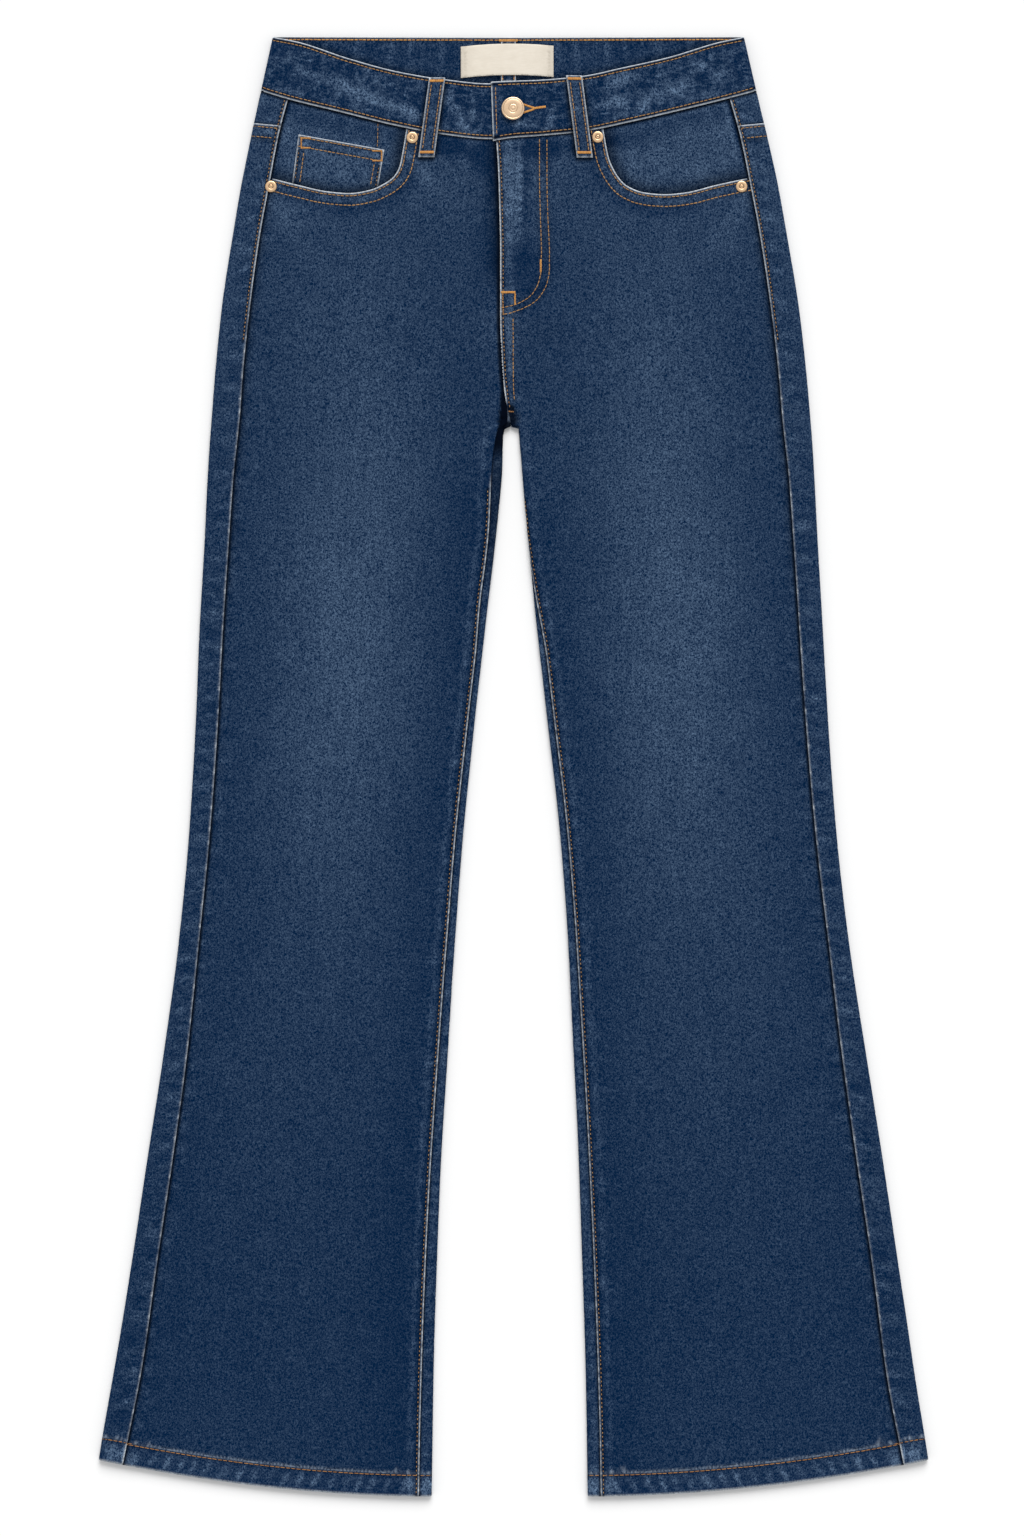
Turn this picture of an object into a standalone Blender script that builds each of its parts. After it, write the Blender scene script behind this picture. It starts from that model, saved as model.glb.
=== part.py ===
"""Flared five-pocket jeans, laid flat on their back, as the pieces a maker cuts and sews.

Metres, +Z up. The jeans lie on Z = 0 with the waist towards +Y and the wearer's left at +X. The origin is
on the surface they lie on, in the middle of the box that holds them. Tables and sizes below are in
millimetres; a "drop" is a distance down the garment from the back waist edge.
"""

import math

import bmesh
import bpy
import numpy as np

MM = 0.001
SHARP_ANGLE = math.radians(35.0)
ROUNDS = 5  # a point on a bent row is found in this many steps

# Driving sizes, mm
LENGTH = 1094.25  # back waist edge to the lowest point of the hem
CLOTH = 1.0  # one ply of denim
GAP = 0.3  # between pieces at a seam, and between layers
HEM_DEPTH = 15.0
HEM_THICK = 2.2  # three plies, pressed
HEM_STEP = 0.5  # over this length the wall thickens to the hem's
BAND_THICK = 2.2
BAND_DEPTH = 40.0  # at the sides
BAND_DEPTH_BACK = 42.0  # at the centre back
BAND_BACK_FLOOR = 2.1  # the back waistband lies on the back belt loops
BAND_BACK_EDGE = 1.0  # drop of the back waist edge beside the centre
BAND_SIDE_EDGE = 0.5  # and at the side folds
LOOP_WIDTH = 12.0
LOOP_THICK = 1.8
LOOP_ARCH = 0.8  # how far a loop's middle stands off the waistband
LOOP_GAP = 0.45  # between a front loop's ends and the cloth under it
CROTCH = 292.5
CROTCH_CURL = 16.0  # over this much drop the seams turn in between the layers
INSEAM_RISE = (330.0, 362.0)  # between these drops the inseam comes up from the fold's side to the top
YOKE_AT_SIDE = 66.0
YOKE_AT_BACK = 100.0
YOKE_SLOPE = 0.1  # of the yoke seam where it shows on the upper side
YOKE_BEND = 0.9  # how straight the yoke seam runs down to the centre back
SHOULDER = 45.0  # across this the upper side comes down from a fold to its middle height
FOLD_LEAD = 12.0  # flat cloth beside a fold that is meshed with it
BUTTON_ACROSS = 17.5
RIVET_ACROSS = 8.8
FLY_WIDTH = 31.0  # the raised lap over the zip, from the centre line
FLY_SIDE_RAMP = 17.0  # beside it the left front comes down over this width
FLY_END = 208.0
FLY_FOOT_RAMP = 25.0  # and below it over this length
ZIP_DROPS = (79.0, 195.0)
ZIP_MARGIN = 5.0  # the zip tape ends this far inside the raised lap
ZIP_CLEAR = 0.1  # more than GAP is left above it, where the lap comes down
ZIP_CELLS = 6
LAP_STEP = CLOTH + GAP

# The legs, as half-widths from the centre line at each drop. The outseam and inseam lie on the upper side.
LEG_COLUMNS = ("drop", "outer_fold", "outseam", "inseam", "inner_fold")
LEG_ROWS = [
    (0, 176.5, 153.5, 0.0, 0.2),
    (40, 185.5, 164.5, 0.0, 0.2),
    (75, 193.5, 174.0, 0.0, 0.2),
    (110, 201.0, 181.0, 0.0, 0.2),
    (150, 208.0, 188.5, 0.0, 0.2),
    (200, 216.0, 195.5, 0.0, 0.2),
    (250, 221.5, 201.0, 0.0, 0.2),
    (292.5, 225.0, 205.0, 5.0, 0.2),
    (296, 225.3, 205.4, 6.0, 5.6),
    (330, 227.5, 208.5, 12.0, 7.8),
    (380, 230.0, 212.0, 16.5, 12.5),
    (440, 233.5, 216.0, 24.0, 19.0),
    (520, 237.5, 221.0, 33.5, 28.0),
    (600, 243.0, 227.5, 42.5, 36.5),
    (680, 251.5, 236.5, 49.0, 42.5),
    (760, 263.0, 246.0, 54.5, 47.0),
    (840, 275.5, 257.0, 59.5, 51.5),
    (920, 287.5, 269.0, 63.5, 54.5),
    (1000, 300.0, 280.0, 66.5, 57.0),
    (1060, 310.0, 291.5, 68.0, 58.0),
    (1094.25, 315.0, 298.5, 68.5, 58.5),
]

# Heights above the surface of the cloth's outer faces: the underside, the middle of the upper side, and the
# upper side where it turns down at the outer and the inner fold.
HEIGHT_COLUMNS = ("drop", "under", "over", "outer_top", "inner_top")
HEIGHT_ROWS = [
    (0, 2.7, 6.3, 6.3, 4.2),
    (45, 2.7, 6.3, 6.3, 4.2),
    (62, 2.3, 6.3, 6.2, 4.2),
    (80, 1.0, 6.2, 6.0, 4.2),
    (100, 0.0, 5.8, 5.6, 4.2),
    (140, 0.0, 5.2, 5.2, 4.2),
    (180, 0.0, 4.7, 5.0, 4.2),
    (CROTCH, 0.0, 4.2, 5.0, 4.2),
    (400, 0.0, 3.4, 5.0, 4.6),
    (1000, 0.0, 3.4, 5.0, 4.6),
    (1060, 0.0, 4.4, 5.2, 4.9),
    (LENGTH, 0.0, 5.0, 5.3, 5.2),
]

# The front waistband, from each side fold to the centre: its top edge and its seam to the front.
BAND_COLUMNS = ("top_x", "top_drop", "seam_x", "seam_drop")
BAND_ROWS = {
    "right": [
        (176.7, 0.5, 185.6, 40.0),
        (158.0, 4.1, 165.0, 46.3),
        (120.4, 16.5, 127.0, 55.7),
        (82.9, 26.6, 87.0, 65.7),
        (48.4, 32.3, 51.4, 72.5),
        (15.4, 35.3, 15.4, 76.1),
        (-6.0, 34.6, -6.0, 74.4),
        (-37.0, 32.6, -37.0, 71.6),
    ],
    "left": [
        (176.7, 0.5, 185.6, 40.0),
        (157.0, 4.5, 165.0, 45.5),
        (120.0, 15.5, 127.0, 54.8),
        (82.0, 24.0, 87.0, 64.0),
        (53.6, 30.0, 56.0, 70.3),
        (22.0, 33.0, 22.0, 73.9),
        (3.0, 33.7, 3.0, 75.2),
        (-14.6, 34.5, -13.1, 77.6),
    ],
}
BAND_LAP_FLAT = 39.0  # the overlap lies on the underlap this far from the centre line
BAND_LAP_DOWN = 72.0  # and is down at the other half's height from here

# The edge of the fly, where the left front laps the right: distance from the centre line, + to the left.
FLY_COLUMNS = ("drop", "x")
FLY_ROWS = [
    (76, -10.9),
    (100, -9.4),
    (130, -8.5),
    (160, -7.9),
    (208, -7.9),
    (250, -6.4),
    (265, -4.9),
    (282, -1.9),
    (CROTCH, 0.0),
]

# The front pocket mouths, from the waistband to the outseam.
POCKET_COLUMNS = ("x", "drop")
POCKET_ROWS = {
    "right": [
        (77.5, 69.0),
        (81.4, 90.8),
        (82.9, 97.5),
        (86.6, 104.3),
        (91.9, 108.8),
        (105.4, 115.1),
        (120.4, 117.4),
        (135.4, 116.3),
        (160.0, 111.0),
        (180.3, 105.8),
    ],
    "left": [
        (69.8, 69.0),
        (73.9, 90.8),
        (76.9, 98.3),
        (81.4, 105.8),
        (87.4, 111.8),
        (100.9, 117.0),
        (115.9, 118.3),
        (131.0, 117.0),
        (155.0, 111.2),
        (180.3, 105.8),
    ],
}
FACING_HIDDEN = 12.0  # how far a facing runs on under the front
FACING_CORNER_DROP = 92.0  # its hidden edge starts below here

# The rows of wall points down a leg, from below the pockets to the hem.
LEVELS = (
    190, 225, 258, 276.5, 284.5, CROTCH, 296, 305, 320, 341, 362, 395, 440, 495, 550, 605,
    660, 715, 770, 825, 880, 935, 990, 1035, 1062,
)  # fmt: skip
HEM_FELT_FROM = 600.0  # rows below this drop bend towards the hem's line
HEM_LIFT = 27.0  # the hem is this much higher at the outer fold than at the inner fold
HEM_BEND = 1.9
HEM_FROM, HEM_TO = 59.6, 309.4  # half-widths between which the hem rises

BACK_POCKET = {
    "inner_top": (32.0, 134.0),
    "outer_top": (160.0, 126.0),
    "outer_bottom": (150.0, 244.0),
    "point": (98.0, 268.0),
    "inner_bottom": (45.0, 250.0),
}
BACK_POCKET_MARGIN = 15.0  # round a back pocket the back panel lies as high as on it, then ramps down

# A loop's top middle, its bottom middle (x, drop).
FRONT_LOOPS = {"right": ((54.4, 31.3), (62.8, 90.8)), "left": ((47.9, 30.0), (55.9, 91.1))}
BACK_LOOPS = {"side_right": -104.0, "side_left": 104.0, "back": 0.0}
BACK_LOOP_DROPS = (2.0, 61.0)
LOOP_PAST_SEAM = 1.5  # a front loop stays up this far past the waistband's seam

LABEL = {"middle": -2.2, "width": 69.5, "top": 6.6, "depth": 23.5, "arch": 2.2, "bulge": 1.6}
TAPE = {"middle": -1.5, "width": 11.0, "top": 3.2, "bottom": 34.0}
COIN_POCKET = {"outer_top": (158.0, 73.5), "inner_top": (94.1, 85.0), "outer_foot": 163.5, "inner_foot": 99.5}
COIN_CLEAR = 1.2  # between its foot and the pocket mouth
BUTTON_AT = (2.6, 54.0)
RIVETS_AT = {
    "right_inner": (-73.2, 76.0),
    "right_outer": (-178.9, 112.6),
    "left_inner": (65.7, 75.6),
    "left_outer": (173.7, 112.6),
}

COLOURS = {  # base colour, roughness, metallic
    "denim": ((0.030, 0.085, 0.220), 0.85, 0.0),
    "denim_worn": ((0.055, 0.120, 0.260), 0.85, 0.0),
    "label": ((0.80, 0.74, 0.64), 0.80, 0.0),
    "zip": ((0.10, 0.12, 0.18), 0.60, 0.0),
    "metal": ((0.82, 0.60, 0.38), 0.35, 1.0),
}


# ---------------------------------------------------------------- tables and small tools


def bent(rows, columns, key, name):
    """A function that reads column name at a value of column key, smooth and without overshoot."""
    order = sorted(rows, key=lambda row: row[columns.index(key)])
    xs = np.array([row[columns.index(key)] for row in order], float)
    ys = np.array([row[columns.index(name)] for row in order], float)
    steps = np.diff(xs)
    slopes = np.diff(ys) / steps
    tangents = np.zeros(len(xs))
    for i in range(1, len(xs) - 1):
        if slopes[i - 1] * slopes[i] > 0:
            tangents[i] = 2.0 / (1.0 / slopes[i - 1] + 1.0 / slopes[i])
    tangents[0], tangents[-1] = slopes[0], slopes[-1]

    def read(x):
        i = int(np.clip(np.searchsorted(xs, x) - 1, 0, len(xs) - 2))
        t = (x - xs[i]) / steps[i]
        if t < 0.0:
            return float(ys[0] + tangents[0] * (x - xs[0]))
        if t > 1.0:
            return float(ys[-1] + tangents[-1] * (x - xs[-1]))
        start, end = ys[i], ys[i + 1]
        lean_in, lean_out = tangents[i] * steps[i], tangents[i + 1] * steps[i]
        return float(
            start * (2 * t**3 - 3 * t**2 + 1)
            + lean_in * (t**3 - 2 * t**2 + t)
            + end * (3 * t**2 - 2 * t**3)
            + lean_out * (t**3 - t**2)
        )

    return read


def ease(t):
    """0 to 1 with level ends."""
    t = min(max(t, 0.0), 1.0)
    return t * t * (3.0 - 2.0 * t)


def mix(a, b, t):
    return a + (b - a) * t


def along(points, count):
    """count + 1 points at even distances along a polyline."""
    points = np.array(points, float)
    length = np.concatenate([[0.0], np.cumsum(np.linalg.norm(np.diff(points, axis=0), axis=1))])
    at = np.linspace(0.0, length[-1], count + 1)
    return np.column_stack([np.interp(at, length, points[:, k]) for k in range(points.shape[1])])


def all_bent(rows, columns):
    """A reader of each column after the first, which is the key."""
    return [bent(rows, columns, columns[0], name) for name in columns[1:]]


outer_fold, outseam, inseam, inner_fold = all_bent(LEG_ROWS, LEG_COLUMNS)
under, over, outer_top, inner_top = all_bent(HEIGHT_ROWS, HEIGHT_COLUMNS)
(fly_edge,) = all_bent(FLY_ROWS, FLY_COLUMNS)
front_seam = {side: bent(rows, BAND_COLUMNS, "seam_x", "seam_drop") for side, rows in BAND_ROWS.items()}
SIGN = {"left": 1.0, "right": -1.0}


# ---------------------------------------------------------------- meshes


def material(name):
    colour, roughness, metallic = COLOURS[name]
    found = bpy.data.materials.get(name)
    if found:
        return found
    made = bpy.data.materials.new(name)
    made.use_nodes = True
    shader = made.node_tree.nodes["Principled BSDF"]
    shader.inputs["Base Color"].default_value = (*colour, 1.0)
    shader.inputs["Roughness"].default_value = roughness
    shader.inputs["Metallic"].default_value = metallic
    made.diffuse_color = (*colour, 1.0)
    return made


def make_object(name, points, faces, finish):
    """One object from points in (x, drop, height) mm, with its faces turned outwards."""
    mesh = bpy.data.meshes.new(name)
    places = [(x * MM, (LENGTH / 2 - drop) * MM, z * MM) for x, drop, z in points]
    mesh.from_pydata(places, [], faces)
    work = bmesh.new()
    work.from_mesh(mesh)
    bmesh.ops.recalc_face_normals(work, faces=work.faces)
    if work.calc_volume(signed=True) < 0.0:
        bmesh.ops.reverse_faces(work, faces=work.faces)
    work.to_mesh(mesh)
    work.free()
    mesh.shade_smooth()
    mesh.set_sharp_from_angle(angle=SHARP_ANGLE)
    made = bpy.data.objects.new(name, mesh)
    made.data.materials.append(material(finish))
    bpy.context.scene.collection.objects.link(made)
    return made


def wall(name, outside, inside, finish="denim"):
    """A closed wall between two grids of points, which are split the same way."""
    outside, inside = np.array(outside, float), np.array(inside, float)
    rows, columns = outside.shape[:2]
    points = np.concatenate([outside.reshape(-1, 3), inside.reshape(-1, 3)])
    back = rows * columns
    faces = []
    for i in range(rows - 1):
        for j in range(columns - 1):
            a, b = i * columns + j, i * columns + j + 1
            c, d = a + columns, b + columns
            faces += [(a, b, d), (a, d, c), (back + a, back + d, back + b), (back + a, back + c, back + d)]
    rim = [i * columns for i in range(rows)]
    rim += [(rows - 1) * columns + j for j in range(1, columns)]
    rim += [i * columns + columns - 1 for i in range(rows - 2, -1, -1)]
    rim += list(range(columns - 2, 0, -1))
    for a, b in zip(rim, rim[1:] + rim[:1]):
        faces += [(a, b, back + b), (a, back + b, back + a)]
    return make_object(name, points, faces, finish)


def plate(name, plan, top, thick, finish="denim"):
    """A wall over a grid of (x, drop) points, with its upper face at height top(x, drop)."""
    outside = [[(x, drop, top(x, drop)) for x, drop in row] for row in plan]
    inside = [[(x, drop, z - thick) for x, drop, z in row] for row in outside]
    return wall(name, outside, inside, finish)


def turned(name, middle, foot, profile, sides, finish):
    """A round piece from a profile of (radius, height) that starts and ends on its axis."""
    points, faces = [], []
    x, drop = middle
    points.append((x, drop, foot + profile[0][1]))
    for radius, height in profile[1:-1]:
        for k in range(sides):
            turn = 2 * math.pi * k / sides
            points.append((x + radius * math.cos(turn), drop + radius * math.sin(turn), foot + height))
    points.append((x, drop, foot + profile[-1][1]))
    last = len(points) - 1
    for k in range(sides):
        here, there = k, (k + 1) % sides
        faces.append((0, 1 + here, 1 + there))
        faces.append((last, last - sides + there, last - sides + here))
        for ring in range(len(profile) - 3):
            a, b = 1 + ring * sides + here, 1 + ring * sides + there
            faces += [(a, a + sides, b + sides), (a, b + sides, b)]
    return make_object(name, points, faces, finish)


# ---------------------------------------------------------------- the form of a leg


def crotch_curl(drop):
    return ease((drop - (CROTCH - CROTCH_CURL)) / CROTCH_CURL)


def outer_radius(drop):
    return (outer_top(drop) - under(drop)) / 2


def inner_radius(drop):
    return (inner_top(drop) - under(drop)) / 2 if drop >= CROTCH else (over(drop) - under(drop)) / 2


def inner_line(drop, edge):
    """Where the inner fold stands: at the crotch it has grown out of the seam at x = edge."""
    if drop >= CROTCH:
        return inner_fold(drop)
    return edge - inner_radius(drop) * (1.0 - math.sin(crotch_curl(drop) * math.pi / 2))


def upper_height(x, drop):
    """The outer face of the upper side at half-width x, between the folds."""
    middle = over(drop)
    outside = ease((x - (outer_fold(drop) - outer_radius(drop) - SHOULDER)) / SHOULDER)
    height = middle + (outer_top(drop) - middle) * outside
    if drop > CROTCH:
        inside = ease((inner_fold(drop) + inner_radius(drop) + SHOULDER - x) / SHOULDER)
        height += (inner_top(drop) - middle) * inside
    return height


def pocket_plateau(x, drop):
    """1 over a back pocket and its margin, 0 away from it."""
    corners = list(BACK_POCKET.values())
    low_x, high_x = min(c[0] for c in corners), max(c[0] for c in corners)
    low_drop, high_drop = min(c[1] for c in corners), max(c[1] for c in corners)
    away = max(low_x - x, x - high_x, low_drop - drop, drop - high_drop) - BACK_POCKET_MARGIN
    return 1.0 - ease(away / BACK_POCKET_MARGIN)


def lower_height(x, drop):
    """The outer face of the underside at half-width x."""
    return max(under(drop), LAP_STEP * pocket_plateau(x, drop))


def folded(x_fold, way, radius, middle, travel, rises):
    """A point on a fold: travel mm round it from where it leaves a flat side.

    way is +1 for a fold at the outer side and -1 for one at the inner side, rises is +1 when the travel
    goes from the underside up and -1 when it goes down. Returns (half-width, height, outward normal).
    """
    turn = travel / radius
    out = way * math.sin(turn)
    up = -rises * math.cos(turn)
    return x_fold - way * radius + radius * out, middle + radius * up, (out, up)


def lay_upper(a, drop, edge):
    """The upper side at unrolled place a: a half-width, or past a fold's crest, the way round it."""
    radius, x_fold = inner_radius(drop), inner_line(drop, edge)
    crest = x_fold + radius
    if a < crest and (drop > CROTCH - CROTCH_CURL):
        return folded(x_fold, -1, radius, under(drop) + radius, crest - a, -1)
    return a, upper_height(a, drop), (0.0, 1.0)


def inseam_place(drop, edge):
    """The unrolled place of the front's inner edge. It starts on the fold's side and comes up on top."""
    radius, x_fold = inner_radius(drop), inner_line(drop, edge)
    side = x_fold + radius - crotch_curl(drop) * math.pi / 2 * radius
    if drop <= CROTCH:
        return side
    low, high = INSEAM_RISE
    return mix(side, inseam(drop), ease((drop - low) / (high - low)))


def hem_drop(x, level):
    """Where a row of wall points lies: level at the top of the leg, bent like the hem at its foot."""
    rise = HEM_LIFT * (max(abs(x) - HEM_FROM, 0.0) / (HEM_TO - HEM_FROM)) ** HEM_BEND
    return level - rise * ease((level - HEM_FELT_FROM) / (LENGTH - HEM_FELT_FROM))


def leg_rows():
    """(level, wall thickness) of the rows from below the pockets to the hem."""
    fold_line = LENGTH - HEM_DEPTH
    rows = [(level, CLOTH) for level in LEVELS]
    return rows + [(fold_line - HEM_STEP, CLOTH), (fold_line, HEM_THICK), (LENGTH, HEM_THICK)]


# ---------------------------------------------------------------- back panels and yokes

INNER_SHARES = (1.0, 0.55, 0.41, 0.27, 0.14, 0.0)  # of the way from the floor to the inseam
FLOOR_CELLS = 8
OUTER_TURNS = (0.0, 0.25, 0.5, 0.75, 1.0)  # of the way round the outer fold
BACK_COLUMNS = [("inner", k) for k in range(len(INNER_SHARES))]
BACK_COLUMNS += [("floor", k) for k in range(FLOOR_CELLS + 1)]
BACK_COLUMNS += [("outer", k) for k in range(len(OUTER_TURNS) + 2)]
YOKE_CELLS = 3
CROTCH_LEAD = 9.6  # flat cloth beside the centre back seam that is meshed with it
POCKET_SHARES = (0.0, 0.35, 0.7)  # rows between the pocket mouth's end and the first level


def yoke_seam(x, upper):
    """Drop of the seam under the yoke: it dips to the centre back."""
    if upper:
        return YOKE_AT_SIDE + YOKE_SLOPE * (outer_fold(YOKE_AT_SIDE) - x)
    return mix(YOKE_AT_BACK, YOKE_AT_SIDE, min(x / outer_fold(YOKE_AT_SIDE), 1.0) ** YOKE_BEND)


def band_seam(x, upper, side):
    """Drop of the waistband's lower edge over a half-width of the yoke or the front."""
    if upper:
        return front_seam[side](x)
    return mix(BAND_DEPTH_BACK, BAND_DEPTH, min(x / outer_fold(BAND_DEPTH), 1.0))


def lay_back(column, drop):
    """A point of the back's outer face: half-width, height, outward normal, and whether it is on top."""
    part, k = column
    inner_r, outer_r = inner_radius(drop), outer_radius(drop)
    base = under(drop)
    x_inner = inner_line(drop, GAP / 2)
    inner_start, outer_start = x_inner + inner_r, outer_fold(drop) - outer_r
    if part == "floor":
        x = mix(inner_start + FOLD_LEAD, outer_start - FOLD_LEAD, k / FLOOR_CELLS)
        return x, lower_height(x, drop), (0.0, -1.0), False
    if part == "inner":
        start, way, fold, radius = inner_start, -1, x_inner, inner_r
        curl = crotch_curl(drop)
        if drop < CROTCH:
            reach = curl * (math.pi / 2 * inner_r - GAP / 2)
        else:
            reach = math.pi * inner_r - (inner_start - inseam_place(drop, GAP / 2)) - GAP
        travel = reach * INNER_SHARES[k] - (1.0 - INNER_SHARES[k]) * (1.0 - curl) * CROTCH_LEAD
    else:
        start, way, fold, radius = outer_start, 1, outer_fold(drop), outer_r
        half_turn = math.pi * outer_r
        reach = half_turn + outer_start - outseam(drop) - GAP / 2
        stops = [share * half_turn for share in OUTER_TURNS] + [(half_turn + reach) / 2, reach]
        travel = stops[k]
    if travel <= 0.0:
        x = start + way * travel
        return x, lower_height(x, drop), (0.0, -1.0), False
    if travel <= math.pi * radius:
        x, z, normal = folded(fold, way, radius, base + radius, travel, 1)
        return x, z, normal, travel > math.pi / 2 * radius
    x = start - way * (travel - math.pi * radius)
    return x, upper_height(x, drop), (0.0, 1.0), True


def back_wall(name, side, rows):
    """A back piece. rows holds (row_drop(x, upper), wall thickness) from its top seam down."""
    outside, inside = [], []
    for row_drop, thick in rows:
        outer_row, inner_row = [], []
        for column in BACK_COLUMNS:
            x, upper = (0.0 if column[0] == "inner" else outer_fold(CROTCH)), False
            for _ in range(ROUNDS):
                drop = row_drop(x, upper)
                x, z, normal, upper = lay_back(column, drop)
            sign = SIGN[side]
            outer_row.append((sign * x, drop, z))
            inner_row.append((sign * (x - normal[0] * thick), drop, z - normal[1] * thick))
        outside.append(outer_row)
        inside.append(inner_row)
    wall(name, outside, inside)


def make_yoke(side):
    def row_drop(x, upper, share):
        return mix(band_seam(x, upper, side) + 2 * GAP, yoke_seam(x, upper) - GAP, share)

    shares = np.linspace(0.0, 1.0, YOKE_CELLS + 1)
    rows = [(lambda x, upper, share=share: row_drop(x, upper, share), CLOTH) for share in shares]
    back_wall(f"yoke_{side}", side, rows)


def make_back(side):
    seam = yoke_seam(outseam(YOKE_AT_SIDE), True)
    mouth = POCKET_ROWS[side][-1][1]
    stops = [seam, (seam + mouth) / 2]
    stops += [mix(mouth, LEVELS[0], share) for share in POCKET_SHARES]
    rows = []
    for stop in stops:
        share = (stop - seam) / (LEVELS[0] - seam)
        rows.append((lambda x, upper, share=share: mix(yoke_seam(x, upper), LEVELS[0], share), CLOTH))
    for level, thick in leg_rows():
        rows.append((lambda x, upper, level=level: hem_drop(x, level), thick))
    back_wall(f"back_{side}", side, rows)


# ---------------------------------------------------------------- fronts

FRONT_ROLL = 4.0  # the inner edge is meshed finely over this width, so that it can turn round the fold
SEAM_CELLS, MOUTH_CELLS = 4, 7
MOUTH_POINTS = 60  # read along a pocket mouth before it is split evenly


def front_edge(side, drop):
    return SIGN[side] * fly_edge(min(drop, CROTCH)) + GAP / 2


def fly_step(side, x, drop):
    """How far the left front stands up over the zip."""
    if side == "right":
        return 0.0
    beside = 1.0 - ease((x - FLY_WIDTH) / FLY_SIDE_RAMP)
    return LAP_STEP * beside * (1.0 - ease((drop - FLY_END) / FLY_FOOT_RAMP))


def pocket_mouth(side, cells):
    """(x, drop) along a pocket mouth, from the waistband to the outseam."""
    rows = [(x, drop) for x, drop in POCKET_ROWS[side]]
    depth = np.concatenate([[0.0], np.cumsum(np.linalg.norm(np.diff(np.array(rows), axis=0), axis=1))])
    keyed = [(d, *row) for d, row in zip(depth, rows)]
    columns = ("way", *POCKET_COLUMNS)
    read_x, read_drop = bent(keyed, columns, "way", "x"), bent(keyed, columns, "way", "drop")
    fine = [(read_x(d), read_drop(d)) for d in np.linspace(0.0, depth[-1], MOUTH_POINTS)]
    return along(fine, cells)


def front_columns(side, drop):
    """The unrolled places of the front's columns on a straight row."""
    start = inseam_place(drop, front_edge(side, drop)) + (GAP / 2 if drop > CROTCH else 0.0)
    end = outseam(drop) - GAP / 2
    body = np.linspace(start + FRONT_ROLL, end, SEAM_CELLS + MOUTH_CELLS + 1)
    return np.concatenate([[start, start + FRONT_ROLL / 2], body])


def front_head(side):
    """The front's top edge: along the waistband, then down the pocket mouth."""
    seam = front_seam[side]
    start = front_edge(side, seam(SIGN[side] * FLY_ROWS[0][1]))
    mouth = pocket_mouth(side, MOUTH_CELLS)
    xs = [start, start + FRONT_ROLL / 2]
    xs += list(np.linspace(start + FRONT_ROLL, mouth[0][0], SEAM_CELLS + 1))
    head = [(x, seam(x) + 2 * GAP) for x in xs]
    return np.array(head + [tuple(point) for point in mouth[1:]])


def make_front(side):
    head = front_head(side)
    first = front_columns(side, LEVELS[0])
    plans = []
    for share in POCKET_SHARES:
        row = [(mix(x, a, share), mix(drop, LEVELS[0], share)) for (x, drop), a in zip(head, first)]
        slip_in = front_edge(side, row[0][1]) - row[0][0]
        slip_out = outseam(row[-1][1]) - GAP / 2 - row[-1][0]
        slips = np.linspace(slip_in, slip_out, len(row))
        plans.append(([(x + slip, drop) for (x, drop), slip in zip(row, slips)], CLOTH))
    for level, thick in leg_rows():
        row = []
        for k in range(len(first)):
            drop = level
            for _ in range(ROUNDS):
                a = front_columns(side, drop)[k]
                drop = hem_drop(a, level)
            row.append((a, drop))
        plans.append((row, thick))
    outside, inside = [], []
    sign = SIGN[side]
    for row, thick in plans:
        outer_row, inner_row = [], []
        for a, drop in row:
            x, z, normal = lay_upper(a, drop, front_edge(side, drop))
            z += fly_step(side, x, drop)
            outer_row.append((sign * x, drop, z))
            inner_row.append((sign * (x - normal[0] * thick), drop, z - normal[1] * thick))
        outside.append(outer_row)
        inside.append(inner_row)
    wall(f"front_{side}", outside, inside)


# ---------------------------------------------------------------- pockets


FINE_MOUTH_CELLS, FACING_CELLS, PATCH_CELLS, HALF_POCKET_CELLS = 40, 10, 4, 3


def facing_height(x, drop):
    return upper_height(abs(x), drop) - LAP_STEP


def make_facing(side):
    """The denim behind a pocket mouth. It runs on under the front."""
    mouth = pocket_mouth(side, FINE_MOUTH_CELLS)
    ways = np.gradient(mouth, axis=0)
    ways /= np.linalg.norm(ways, axis=1)[:, None]
    hidden = mouth + FACING_HIDDEN * np.column_stack([-ways[:, 1], ways[:, 0]])
    foot = along(hidden[hidden[:, 1] > FACING_CORNER_DROP][::-1], FACING_CELLS)
    foot[0][0] = outseam(foot[0][1]) - GAP
    seam = front_seam[side]
    outer_x = outseam(seam(outseam(BAND_DEPTH))) - GAP
    inner_x = mouth[0][0] - FACING_HIDDEN
    head = [(x, seam(x) + 2 * GAP) for x in np.linspace(outer_x, inner_x, FACING_CELLS + 1)]
    plan = []
    for share in np.linspace(0.0, 1.0, PATCH_CELLS + 1):
        row = [(mix(a[0], b[0], share), mix(a[1], b[1], share)) for a, b in zip(head, foot)]
        row[0] = (min(row[0][0], outseam(row[0][1]) - GAP), row[0][1])
        plan.append([(SIGN[side] * x, drop) for x, drop in row])
    plate(f"pocket_facing_{side}", plan, facing_height, CLOTH, "denim_worn")


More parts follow.
